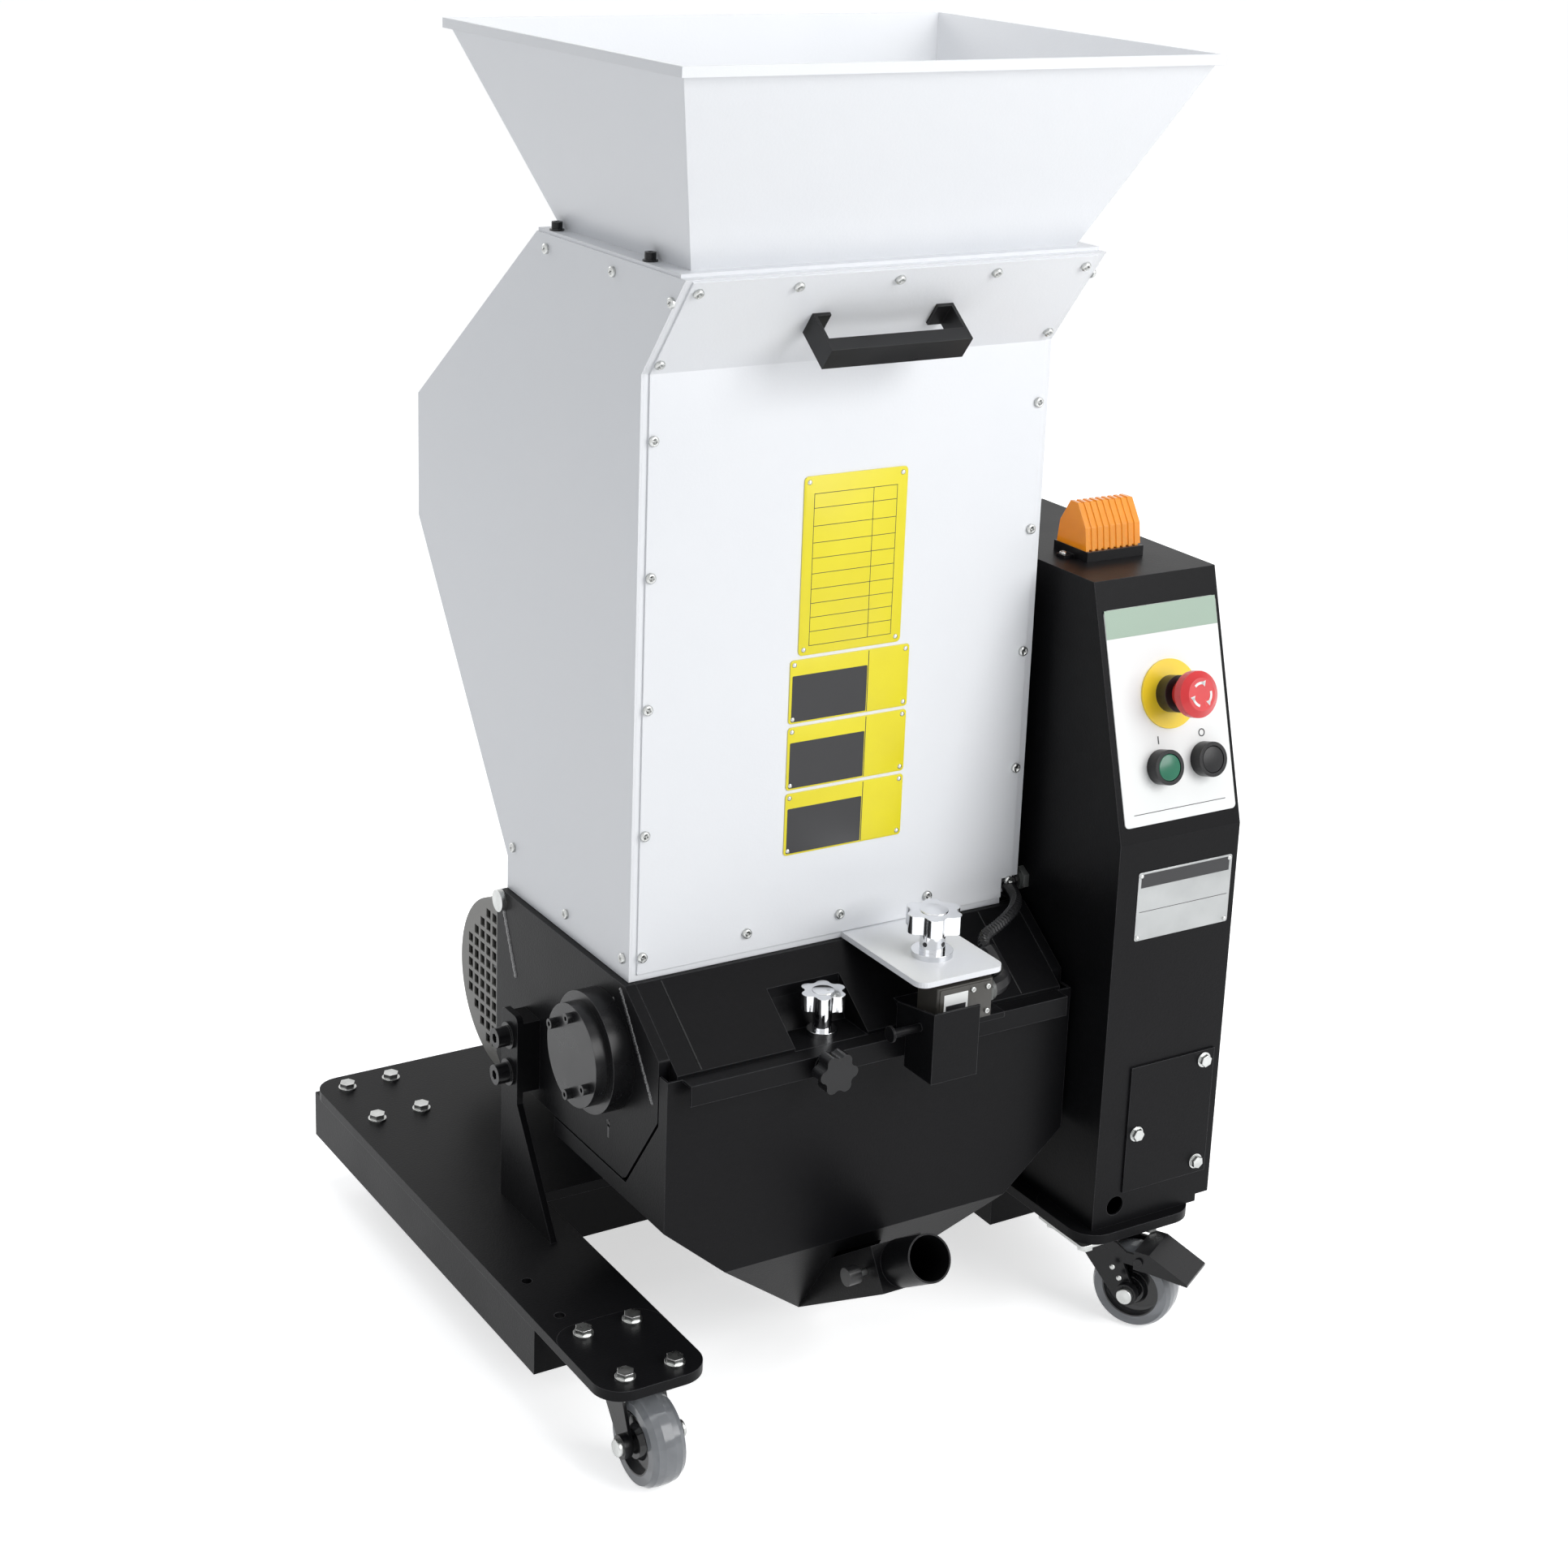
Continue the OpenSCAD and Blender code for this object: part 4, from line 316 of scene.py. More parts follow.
def finish(name, light, dark, gloss, grain, height, wear_and_highlight_colour, wear_and_highlight_amount, cloud, metal=0.0, shine=0.5):
    """A material: two colours, (smooth, rough) gloss, grain size and height in metres."""
    paint = bpy.data.materials.new(name)
    paint.use_nodes = True
    tree = paint.node_tree
    shader = tree.nodes["Principled BSDF"]
    shader.inputs["Metallic"].default_value = metal
    shader.inputs["Specular IOR Level"].default_value = shine
    patches = group_node(tree, MOTTLE, Scale=cloud, Contrast=1.6)
    # The corner mask brightens worn corners; on the weld beads it paints a highlight.
    corner = group_node(tree, WEAR_AND_HIGHLIGHT, Radius=WEAR_AND_HIGHLIGHT_RADIUS, Amount=wear_and_highlight_amount)
    colour = blend(tree, patches, dark, light)
    colour = blend(tree, corner, colour, wear_and_highlight_colour)
    tree.links.new(colour, shader.inputs["Base Color"])
    span = tree.nodes.new("ShaderNodeMapRange")
    span.inputs["To Min"].default_value, span.inputs["To Max"].default_value = gloss
    tree.links.new(patches, span.inputs["Value"])
    tree.links.new(span.outputs[0], shader.inputs["Roughness"])
    bump = tree.nodes.new("ShaderNodeBump")
    bump.inputs["Distance"].default_value = height
    bump.inputs["Strength"].default_value = 1.0
    tree.links.new(group_node(tree, GRAIN, Scale=grain, Fine=GRAIN_FINE), bump.inputs["Height"])
    edge = tree.nodes.new("ShaderNodeBevel")
    edge.samples = 4
    edge.inputs["Radius"].default_value = EDGE_RADIUS
    tree.links.new(edge.outputs["Normal"], bump.inputs["Normal"])
    tree.links.new(bump.outputs["Normal"], shader.inputs["Normal"])
    return paint


WEAR_AND_HIGHLIGHT_RADIUS, EDGE_RADIUS, GRAIN_FINE = 0.9 * MM, 0.6 * MM, 0.5
SOOT = (0.012, 0.012, 0.013)
WHITE_COAT = finish(
    "white_powder_coat", (0.80, 0.81, 0.83), (0.77, 0.785, 0.81), (0.34, 0.42), 420, 0.00006,
    wear_and_highlight_colour=(0.86, 0.86, 0.87), wear_and_highlight_amount=0.5, cloud=6)
BLACK_COAT = finish(
    "black_powder_coat", (0.0068, 0.0068, 0.0076), (0.0045, 0.0045, 0.0052), (0.30, 0.42), 520,
    0.00009, wear_and_highlight_colour=(0.10, 0.10, 0.105), wear_and_highlight_amount=1.0, cloud=8, shine=0.09)
BLACK_PLATE = finish(
    "black_enamel_plate", (0.009, 0.009, 0.010), (0.006, 0.006, 0.007), (0.22, 0.34), 700, 0.00003,
    wear_and_highlight_colour=(0.05, 0.05, 0.05), wear_and_highlight_amount=0.9, cloud=14, shine=0.3)
ZINC = finish(
    "zinc_plating", (0.62, 0.63, 0.62), (0.42, 0.43, 0.42), (0.22, 0.38), 900, 0.00001,
    metal=1.0, wear_and_highlight_colour=(0.8, 0.8, 0.8), wear_and_highlight_amount=0.6, cloud=90)
STEEL = finish(
    "ground_steel", (0.56, 0.57, 0.58), (0.44, 0.45, 0.46), (0.25, 0.40), 1500, 0.00001,
    metal=1.0, wear_and_highlight_colour=(0.75, 0.75, 0.75), wear_and_highlight_amount=0.6, cloud=40)
CHROME = finish(
    "chrome", (0.80, 0.81, 0.83), (0.70, 0.71, 0.73), (0.05, 0.12), 300, 0.000004,
    metal=1.0, wear_and_highlight_colour=(0.9, 0.9, 0.9), wear_and_highlight_amount=0.3, cloud=60)
CAST = finish(
    "cast_iron_paint", (0.10, 0.10, 0.10), (0.06, 0.06, 0.06), (0.40, 0.55), 350, 0.00012,
    wear_and_highlight_colour=(0.25, 0.25, 0.25), wear_and_highlight_amount=0.6, cloud=30)
BEARING = finish(
    "black_machined_cap", (0.010, 0.010, 0.011), (0.007, 0.007, 0.008), (0.22, 0.34), 600, 0.00001,
    wear_and_highlight_colour=(0.10, 0.10, 0.10), wear_and_highlight_amount=0.8, cloud=30, shine=0.3)
MOTOR_PAINT = finish(
    "motor_paint", (0.22, 0.215, 0.20), (0.17, 0.165, 0.155), (0.38, 0.5), 420, 0.00008,
    wear_and_highlight_colour=(0.4, 0.4, 0.38), wear_and_highlight_amount=0.6, cloud=16)
RUBBER = finish(
    "belt_rubber", (0.018, 0.018, 0.018), (0.010, 0.010, 0.010), (0.6, 0.75), 600, 0.00008,
    wear_and_highlight_colour=(0.06, 0.06, 0.06), wear_and_highlight_amount=0.6, cloud=25)
BLACK_PLASTIC = finish(
    "black_plastic", SOOT, (0.008, 0.008, 0.009), (0.26, 0.36), 800, 0.00003,
    wear_and_highlight_colour=(0.05, 0.05, 0.05), wear_and_highlight_amount=0.5, cloud=30, shine=0.3)
YELLOW_PLASTIC = finish(
    "yellow_plastic", (0.90, 0.66, 0.02), (0.82, 0.58, 0.02), (0.3, 0.4), 700, 0.00002,
    wear_and_highlight_colour=(0.95, 0.8, 0.2), wear_and_highlight_amount=0.4, cloud=30)
RED_PLASTIC = finish(
    "red_plastic", (0.66, 0.030, 0.035), (0.56, 0.020, 0.025), (0.2, 0.3), 900, 0.00001,
    wear_and_highlight_colour=(0.8, 0.2, 0.2), wear_and_highlight_amount=0.4, cloud=40)
GREEN_PLASTIC = finish(
    "green_plastic", (0.010, 0.16, 0.085), (0.008, 0.12, 0.065), (0.15, 0.25), 900, 0.00001,
    wear_and_highlight_colour=(0.1, 0.4, 0.2), wear_and_highlight_amount=0.4, cloud=60)
FOIL_WHITE = finish(
    "white_foil", (0.80, 0.81, 0.80), (0.78, 0.79, 0.78), (0.35, 0.42), 900, 0.00001,
    wear_and_highlight_colour=(0.85, 0.85, 0.85), wear_and_highlight_amount=0.2, cloud=12)
PALE_GREEN = finish(
    "pale_green_foil", (0.32, 0.43, 0.34), (0.30, 0.40, 0.32), (0.35, 0.42), 900, 0.00001,
    wear_and_highlight_colour=(0.4, 0.5, 0.4), wear_and_highlight_amount=0.2, cloud=12)
PLATE_YELLOW = finish(
    "yellow_plate", (0.80, 0.70, 0.012), (0.74, 0.63, 0.010), (0.3, 0.4), 700, 0.00001,
    wear_and_highlight_colour=(0.6, 0.6, 0.5), wear_and_highlight_amount=0.8, cloud=20)
ALUMINIUM = finish(
    "brushed_plate", (0.42, 0.43, 0.43), (0.34, 0.35, 0.35), (0.3, 0.42), 900, 0.00001,
    metal=1.0, wear_and_highlight_colour=(0.7, 0.7, 0.7), wear_and_highlight_amount=0.7, cloud=40)
print("finishes:", len(bpy.data.materials))

# %% [markdown]
# ## See-through parts
# The beacon's lens is tinted clear plastic with ribs, and the caster treads
# are milky polyurethane. Both pass light, so they use transmission with a
# gloss that varies, and the same grain as the opaque finishes.


# %% Lens and tread
def clear_finish(name, colour, gloss, passing, ior):
    """A tinted clear or milky material."""
    paint = finish(
        name, colour, tuple(c * 0.85 for c in colour), gloss, 500, 0.00002,
        wear_and_highlight_colour=colour, wear_and_highlight_amount=0.1, cloud=40)
    shader = paint.node_tree.nodes["Principled BSDF"]
    shader.inputs["Transmission Weight"].default_value = passing
    shader.inputs["IOR"].default_value = ior
    return paint


AMBER = clear_finish("amber_lens", (0.95, 0.40, 0.02), (0.05, 0.12), 0.35, 1.49)
lens_shader = AMBER.node_tree.nodes["Principled BSDF"]
# The lens's faint orange emission is a painted glow.
lens_shader.inputs["Emission Color"].default_value = (0.90, 0.30, 0.01, 1)
lens_shader.inputs["Emission Strength"].default_value = 0.16
lens_shader.inputs["Coat Weight"].default_value = 0.6
lens_shader.inputs["Coat Roughness"].default_value = 0.04
print("clear finish:", AMBER.name)

# %% [markdown]
# ## Wheels in two materials
# A caster wheel is a black core with a tread cast around it. The solid is
# one body of revolution, so the border is a radius: the distance from the
# axle, measured in Object coordinates, chooses the finish.


# %% Wheel finish
def wheel_finish(name, centre, turn):
    """Black core inside the border radius, milky tread outside it."""
    paint = clear_finish(name, (0.30, 0.315, 0.335), (0.10, 0.18), 0.40, 1.5)
    tree = paint.node_tree
    shader = tree.nodes["Principled BSDF"]
    place = tree.nodes.new("ShaderNodeTexCoord")
    away = tree.nodes.new("ShaderNodeVectorMath")
    away.operation = "SUBTRACT"
    away.inputs[1].default_value = Vector(centre) * MM + HOME
    tree.links.new(place.outputs["Object"], away.inputs[0])
    along = tree.nodes.new("ShaderNodeVectorMath")
    along.operation = "DOT_PRODUCT"
    along.inputs[1].default_value = (math.cos(turn), math.sin(turn), 0)
    tree.links.new(away.outputs["Vector"], along.inputs[0])
    length = tree.nodes.new("ShaderNodeVectorMath")
    length.operation = "LENGTH"
    tree.links.new(away.outputs["Vector"], length.inputs[0])
    square = maths(
        tree, "SUBTRACT", maths(tree, "POWER", length.outputs["Value"], 2.0),
        maths(tree, "POWER", along.outputs["Value"], 2.0))
    radius = maths(tree, "SQRT", maths(tree, "MAXIMUM", square, 0.0))
    core = maths(tree, "LESS_THAN", radius, WHEEL_CORE)
    old = shader.inputs["Base Color"].links[0].from_socket
    tree.links.new(blend(tree, core, old, SOOT), shader.inputs["Base Color"])
    return paint


WHEEL_CORE = 26.5 * MM
WHEELS = {
    # wheel: its middle in millimetres from the hopper's front middle, its fork's turn
    "wheel_fl": ((-241, -134, 38), 0.0),
    "wheel_fr": ((259.5, -129, 38), math.radians(30)),
    "wheel_rl": ((-241, 396, 38), 0.0),
    "wheel_rr": ((241, 396, 38), 0.0),
}
WHEEL_PAINT = {name: wheel_finish(name + "_finish", *spot) for name, spot in WHEELS.items()}
print("wheel finishes:", len(WHEEL_PAINT))

# %% [markdown]
# ## Two turned parts in two colours
# The emergency stop's disc is yellow and the collar on it black, and the
# thumb screw has a black head on a plated thread. Each is one solid, so a
# plane across it chooses the finish, by a dot product with its axis.


# %% Split finishes
def split_finish(paint, axis, border, colour, metal=0.0):
    """Beyond the border along the axis (metres) the paint takes another colour."""
    tree = paint.node_tree
    shader = tree.nodes["Principled BSDF"]
    place = tree.nodes.new("ShaderNodeTexCoord")
    along = tree.nodes.new("ShaderNodeVectorMath")
    along.operation = "DOT_PRODUCT"
    along.inputs[1].default_value = axis
    tree.links.new(place.outputs["Object"], along.inputs[0])
    beyond = maths(tree, "GREATER_THAN", along.outputs["Value"], border)
    old = shader.inputs["Base Color"].links[0].from_socket
    tree.links.new(blend(tree, beyond, old, colour), shader.inputs["Base Color"])
    if metal:
        tree.links.new(maths(tree, "MULTIPLY", beyond, metal), shader.inputs["Metallic"])
    return paint


SLOPE_UP = Vector((0, 0.270617, 0.962687))
SLOPE_OUT = Vector((0, -0.962687, 0.270617))
PANEL_FOOT = Vector((0, -124, 464))
BEND_POINT = PANEL_FOOT * MM + HOME
STOP_DISC = 3.2 * MM
STOP_COLLAR = split_finish(
    YELLOW_PLASTIC, SLOPE_OUT, BEND_POINT.dot(SLOPE_OUT) + STOP_DISC, SOOT)
THUMB_HEAD = 12.2 * MM
thumb_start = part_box("outlet_thumb_screw")[0][0]
THUMB_SCREW = split_finish(
    finish(
        "thumb_screw", SOOT, (0.009, 0.009, 0.010), (0.26, 0.36), 800, 0.00003,
        wear_and_highlight_colour=(0.08, 0.08, 0.08), wear_and_highlight_amount=0.6, cloud=30),
    (1, 0, 0), thumb_start + THUMB_HEAD, (0.55, 0.56, 0.56), 1.0)
print("split finishes ready")

# %% [markdown]
# ## Finishes on the solids
# Each solid keeps its shape and gets the finish of its real surface. The
# wheels take the two-material finishes made for them above.

# %% Dress the solids
DRESS = {
    WHITE_COAT: [
        "hopper_shell", "hopper_front_cover", "hopper_side_covers", "feed_funnel", "hopper_lock_tab"],
    BLACK_COAT: [
        "control_box", "access_cover", "base_plate", "base_skirt", "uprights", "belt_guard",
        "chamber_rear_wall", "bin_guard", "screen_cradle", "switch_bracket", "rear_forks",
        "material_bin", "bin_outlet", "chamber_left_plate", "chamber_right_plate",
        "chamber_front_wall"],
    BLACK_PLATE: ["caster_fork_fl", "caster_fork_fr", "brake_pedal"],
    BEARING: ["bearing_caps", "bearing_housings", "socket_screws", "funnel_bolts"],
    ZINC: ["hex_bolts", "caster_plates", "hopper_hinge"],
    THUMB_SCREW: ["outlet_thumb_screw"],
    STEEL: ["rotor", "rotor_knives", "fixed_knives", "screen", "motor_shaft"],
    CHROME: ["hopper_lock_knob", "screen_lock_knob"],
    CAST: ["rotor_pulley"],
    MOTOR_PAINT: ["motor_housing", "motor_fan_cover", "terminal_box"],
    RUBBER: ["drive_belt"],
    BLACK_PLASTIC: [
        "hopper_handle", "bin_lock_knob", "button_bezels", "beacon_base", "safety_switch",
        "switch_conduit", "stop_button"],
    STOP_COLLAR: ["estop_collar"],
    RED_PLASTIC: ["estop_button"],
    GREEN_PLASTIC: ["start_button"],
    FOIL_WHITE: ["control_panel"],
    AMBER: ["beacon_lens"],
}
dressed = set()
for paint, names in DRESS.items():
    for name in names:
        nodes[name].data.materials.clear()
        nodes[name].data.materials.append(paint)
        dressed.add(name)
for name, paint in WHEEL_PAINT.items():
    nodes[name].data.materials.clear()
    nodes[name].data.materials.append(paint)
    dressed.add(name)
print("dressed", len(dressed), "left plain:", sorted(set(nodes) - dressed))

# %% [markdown]
# ## A small workshop of helpers
# Every added piece starts as a primitive, is shaped in edit mode, and ends
# with its place in its mesh. Screws repeat, so one is modelled and copied.
# Places, and the sizes of slabs and rings, are given in millimetres.


# %% Helpers
UP, FRONT, BACK, LEFT, RIGHT = (0, 0, 1), (0, -1, 0), (0, 1, 0), (-1, 0, 0), (1, 0, 0)
FACING = 0.9  # a face whose normal reaches this share of an axis looks along it
BIG_CORNER = 10  # millimetres; from here a corner gets more facets


def clear():
    """Nothing selected."""
    bpy.ops.object.select_all(action="DESELECT")


def pick(test):
    """Edit mode, with only the faces whose centre and normal pass the test selected."""
    piece = bpy.context.active_object
    bpy.ops.object.mode_set(mode="EDIT")
    bpy.ops.mesh.select_mode(type="FACE")
    bpy.ops.mesh.select_all(action="DESELECT")
    bpy.ops.object.mode_set(mode="OBJECT")
    for face in piece.data.polygons:
        face.select = test(face.center, face.normal)
    bpy.ops.object.mode_set(mode="EDIT")


def pick_edges(test):
    """Edit mode, with only the edges whose two ends pass the test selected."""
    piece = bpy.context.active_object
    bpy.ops.object.mode_set(mode="EDIT")
    bpy.ops.mesh.select_mode(type="EDGE")
    bpy.ops.mesh.select_all(action="DESELECT")
    bpy.ops.object.mode_set(mode="OBJECT")
    for line in piece.data.edges:
        line.select = test(*(piece.data.vertices[v].co for v in line.vertices))
    bpy.ops.object.mode_set(mode="EDIT")


def settle(name):
    """Leaves edit mode, names the piece and puts its place into its mesh."""
    bpy.ops.object.mode_set(mode="OBJECT")
    piece = bpy.context.active_object
    bpy.ops.object.transform_apply(location=True, rotation=True, scale=True)
    piece.name = piece.data.name = name
    bpy.ops.object.shade_smooth_by_angle(angle=math.radians(35))
    return piece


def frame_at(origin, outward, upward=UP):
    """A matrix at so many millimetres from the hopper's front middle: Z looks outward."""
    out = Vector(outward).normalized()
    up = Vector(upward)
    up = (up - out * up.dot(out)).normalized()
    turn = Matrix((up.cross(out), up, out)).transposed().to_4x4()
    return Matrix.Translation(Vector(origin) * MM + HOME) @ turn


def fit(piece, place, paint, body):
    """Puts a piece in its place and says what it rides on and is made of."""
    piece.data.transform(place)
    piece.data.materials.append(paint)
    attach(piece, body)
    return piece


def turned(radius, high, rim, sides=40, steps=2, foot=0.0):
    """Edit mode: a disc on its foot's height, with its upper rim bevelled in so many steps."""
    clear()
    bpy.ops.mesh.primitive_cylinder_add(
        vertices=sides, radius=radius, depth=high, location=(0, 0, foot + high / 2))
    pick(lambda c, n: n.z > FACING)
    bpy.ops.mesh.bevel(offset=rim, segments=steps, affect="EDGES")


def dome(name, radius, squash, paint, segments, rings, floor=0.0):
    """The part of a ball above a floor, pressed to its squash: a rivet's head or a weld's drop."""
    clear()
    bpy.ops.mesh.primitive_uv_sphere_add(segments=segments, ring_count=rings, radius=radius)
    bpy.ops.object.mode_set(mode="EDIT")
    bpy.ops.mesh.select_all(action="SELECT")
    bpy.ops.mesh.bisect(plane_co=(0, 0, floor), plane_no=(0, 0, 1), use_fill=True, clear_inner=True)
    bpy.ops.mesh.select_all(action="SELECT")
    bpy.ops.transform.resize(value=squash, center_override=(0, 0, 0))
    model = settle(name)
    model.data.materials.append(paint)
    return model


def ring(name, place, paint, body, radius, high, rim, sides=40):
    """A round disc standing on a place, with a bevelled upper rim."""
    turned(radius * MM, high * MM, rim * MM, sides)
    return fit(settle(name), place, paint, body)


def copies(model, name, places, body):
    """One piece made of the model's copies at each matrix."""
    made = []
    for place in places:
        twin = model.copy()
        twin.data = model.data.copy()
        bpy.context.collection.objects.link(twin)
        twin.data.transform(place)
        made.append(twin)
    clear()
    for twin in made:
        twin.select_set(True)
    bpy.context.view_layer.objects.active = made[0]
    if len(made) > 1:
        bpy.ops.object.join()
    piece = bpy.context.active_object
    piece.name = piece.data.name = name
    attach(piece, body)
    return piece


def slab(name, place, paint, body, wide, high, thick, corner=0.0, edge=0.0):
    """A thin plate on a face, with rounded corners and a soft front edge if asked."""
    clear()
    bpy.ops.mesh.primitive_cube_add(
        size=1, location=(0, 0, thick * MM / 2), scale=(wide * MM, high * MM, thick * MM))
    bpy.ops.object.transform_apply(location=True, scale=True)
    if corner:
        pick_edges(lambda a, b: abs(a.z - b.z) > thick * MM * FACING)
        steps = 12 if corner > BIG_CORNER else 5
        bpy.ops.mesh.bevel(offset=corner * MM, segments=steps, affect="EDGES")
    if edge:
        pick(lambda c, n: n.z > FACING)
        bpy.ops.mesh.bevel(offset=edge * MM, segments=2, affect="EDGES")
    return fit(settle(name), place, paint, body)


print("helpers ready")

# %% [markdown]
# ## Pan-head screws
# The covers are held by small plated screws with a cross recess. The head
# is a short cylinder with a rounded rim, and the cross is cut by two thin
# blocks with a Boolean, because that is how a punch makes it.

# %% Pan-head screw
SCREW_HEAD, SCREW_HIGH = 8.8 * MM, 3.0 * MM
CROSS_LONG, CROSS_WIDE, CROSS_DEEP = 5.0 * MM, 1.1 * MM, 3.0 * MM
turned(SCREW_HEAD / 2, SCREW_HIGH, 1.4 * MM, sides=20, steps=3)
screw = settle("pan_screw_model")
clear()
bpy.ops.mesh.primitive_cube_add(
    size=1, location=(0, 0, SCREW_HIGH), scale=(CROSS_LONG, CROSS_WIDE, CROSS_DEEP))
bpy.ops.object.transform_apply(location=True, scale=True)
bpy.ops.object.mode_set(mode="EDIT")
bpy.ops.mesh.duplicate()
bpy.ops.transform.rotate(value=math.pi / 2, orient_axis="Z", center_override=(0, 0, SCREW_HIGH))
punch = settle("cross_punch")
cut = screw.modifiers.new("cross", "BOOLEAN")
cut.object = punch
cut.solver = "EXACT"
cut.use_self = True
clear()
screw.select_set(True)
bpy.context.view_layer.objects.active = screw
bpy.ops.object.modifier_apply(modifier="cross")
bpy.data.objects.remove(punch)
screw.data.materials.append(ZINC)
print("screw faces:", len(screw.data.polygons))

# %% [markdown]
# The screws stand in rows along the edges of the covers. The front ones
# look towards -Y, the upper row stands on the slanted part, and the side
# ones are near the folds at the top and bottom of each side cover.

# %% Screws on the covers
COVER_T, SIDE_COVER = 1.5, 195
COVER = -COVER_T
SLANT_FOOT, SLANT_AHEAD, SLANT_RISE = 878, 65, 83
SLANT = Vector((0, -SLANT_RISE, -SLANT_AHEAD)).normalized()
columns = [(x, z) for x in (-184, 184) for z in (825, 715, 606, 499, 393)]
foot = [(x, 395) for x in (-85, 7, 97)]
front_places = [frame_at((x, COVER, z), FRONT, (0.3, 0, 1)) for x, z in columns + foot]


def on_slant(x, up):
    """A point on the slanted part, up along it from the bend, in millimetres."""
    share = up / math.hypot(SLANT_AHEAD, SLANT_RISE)
    base = Vector((x, -SLANT_AHEAD * share, SLANT_FOOT + SLANT_RISE * share))
    return base + SLANT * COVER_T


front_places += [frame_at(on_slant(x, 92), SLANT) for x in (-180, -92, 0, 92, 180)]
front_places += [frame_at(on_slant(x, 12), SLANT) for x in (-184, 184)]
copies(screw, "front_cover_screws", front_places, "hopper")
SIDE_SPOTS = ((-46, 941), (48, 949), (162, 949), (10, 390), (112, 390), (214, 414))
side_places = []
for side in (-1, 1):
    for y, z in SIDE_SPOTS:
        side_places.append(frame_at((side * SIDE_COVER, y, z), (side, 0, 0), (0, 0.4, 1)))
copies(screw, "side_cover_screws", side_places, "hopper")
print("cover screws:", len(front_places) + len(side_places))

# %% [markdown]
# ## Bare plates on the front
# A yellow plate and three black-and-yellow ones are riveted to the front.
# Words and pictures stay off them, so they are plain fields in the same
# colours, with ruled lines where a table's lines would be, and rivets.


# %% Plates
def front_at(x, z, out=0.0):
    """A place on the front cover, out from it by so many millimetres."""
    return frame_at((x, COVER - out, z), FRONT)


def ruled(x, z, wide, high):
    """A place and size for a printed rule on a plate of the front cover."""
    return front_at(x, z, PLATE_THICK) @ Matrix.Diagonal((wide * MM, high * MM, RULE_THICK * MM, 1))


PLATE_THICK, RULE_THICK, RULE = 0.8, 0.1, 0.5
slab("yellow_plate", front_at(5, 707.5), PLATE_YELLOW, "hopper",
     wide=100, high=151, thick=PLATE_THICK, corner=4, edge=0.2)
# Black ink for print, also used as painted shade in the small holes and slots.
INK_AND_SHADE = finish(
    "black_ink_and_shade", (0.012, 0.012, 0.014), (0.008, 0.008, 0.010), (0.3, 0.4), 900, 0.00001,
    wear_and_highlight_colour=(0.1, 0.1, 0.1), wear_and_highlight_amount=0.3, cloud=30)
RULE_ROWS = (640, 652, 664, 676, 688, 701, 714, 727, 741, 756, 768)
RULE_COLUMNS = (-35, 22, 45)
clear()
bpy.ops.mesh.primitive_cube_add(size=1)
rule = settle("rule_model")
rule.data.materials.append(INK_AND_SHADE)
lines = [ruled(5, z, 80, RULE) for z in RULE_ROWS] + [ruled(x, 704, RULE, 128.5) for x in RULE_COLUMNS]
copies(rule, "yellow_plate_rules", lines, "hopper")
LABEL_FEET, LABEL_HIGH = (574, 516, 458), 55
for number, low in enumerate(LABEL_FEET):
    middle = low + LABEL_HIGH / 2
    name = "label_%d" % (number + 1)
    slab(name + "_plate", front_at(6.5, middle), PLATE_YELLOW, "hopper",
         wide=117, high=LABEL_HIGH, thick=PLATE_THICK, corner=3, edge=0.2)
    slab(name + "_field", front_at(-13, low + 21.5, PLATE_THICK), INK_AND_SHADE, "hopper",
         wide=73, high=40, thick=0.12, corner=1)
    copies(rule, name + "_rule", [ruled(24.5, middle, 0.7, 53)], "hopper")

# %% [markdown]
# ## Rivets
# Small domed rivets hold every plate: the upper half of a ball, pressed flatter.

# %% Rivets
RIVET, RIVET_INSET = 2.2 * MM, 4
rivet = dome("rivet_model", RIVET, (1, 1, 0.6), ZINC, 14, 8)
spots = [(x, z) for x in (-40, 50) for z in (637, 778)]
for low in LABEL_FEET:
    spots += [(x, z) for x in (-48, 61) for z in (low + RIVET_INSET, low + LABEL_HIGH - RIVET_INSET)]
rivet_places = [front_at(x, z, PLATE_THICK) for x, z in spots]
copies(rivet, "front_plate_rivets", rivet_places, "hopper")
print("rivets:", len(spots))

# %% [markdown]
# ## Control panel
# The foil has a pale green band across its head and, round the buttons,
# nothing but generic marks: a circle and a bar. The panel's plane slopes,
# so its places are given as a distance across and a distance up the slope.

# %% Panel print
def on_panel(x, up, out=0.0):
    """A place on the sloping panel, in millimetres."""
    base = PANEL_FOOT + Vector((x, 0, 0)) + SLOPE_UP * up + SLOPE_OUT * out
    return frame_at(base, SLOPE_OUT, SLOPE_UP)


def on_nameplate(x, y):
    """A place on the nameplate's face, from its middle, in millimetres."""
    return NAMEPLATE_AT @ Matrix.Translation(Vector((x, y, NAMEPLATE_T)) * MM)


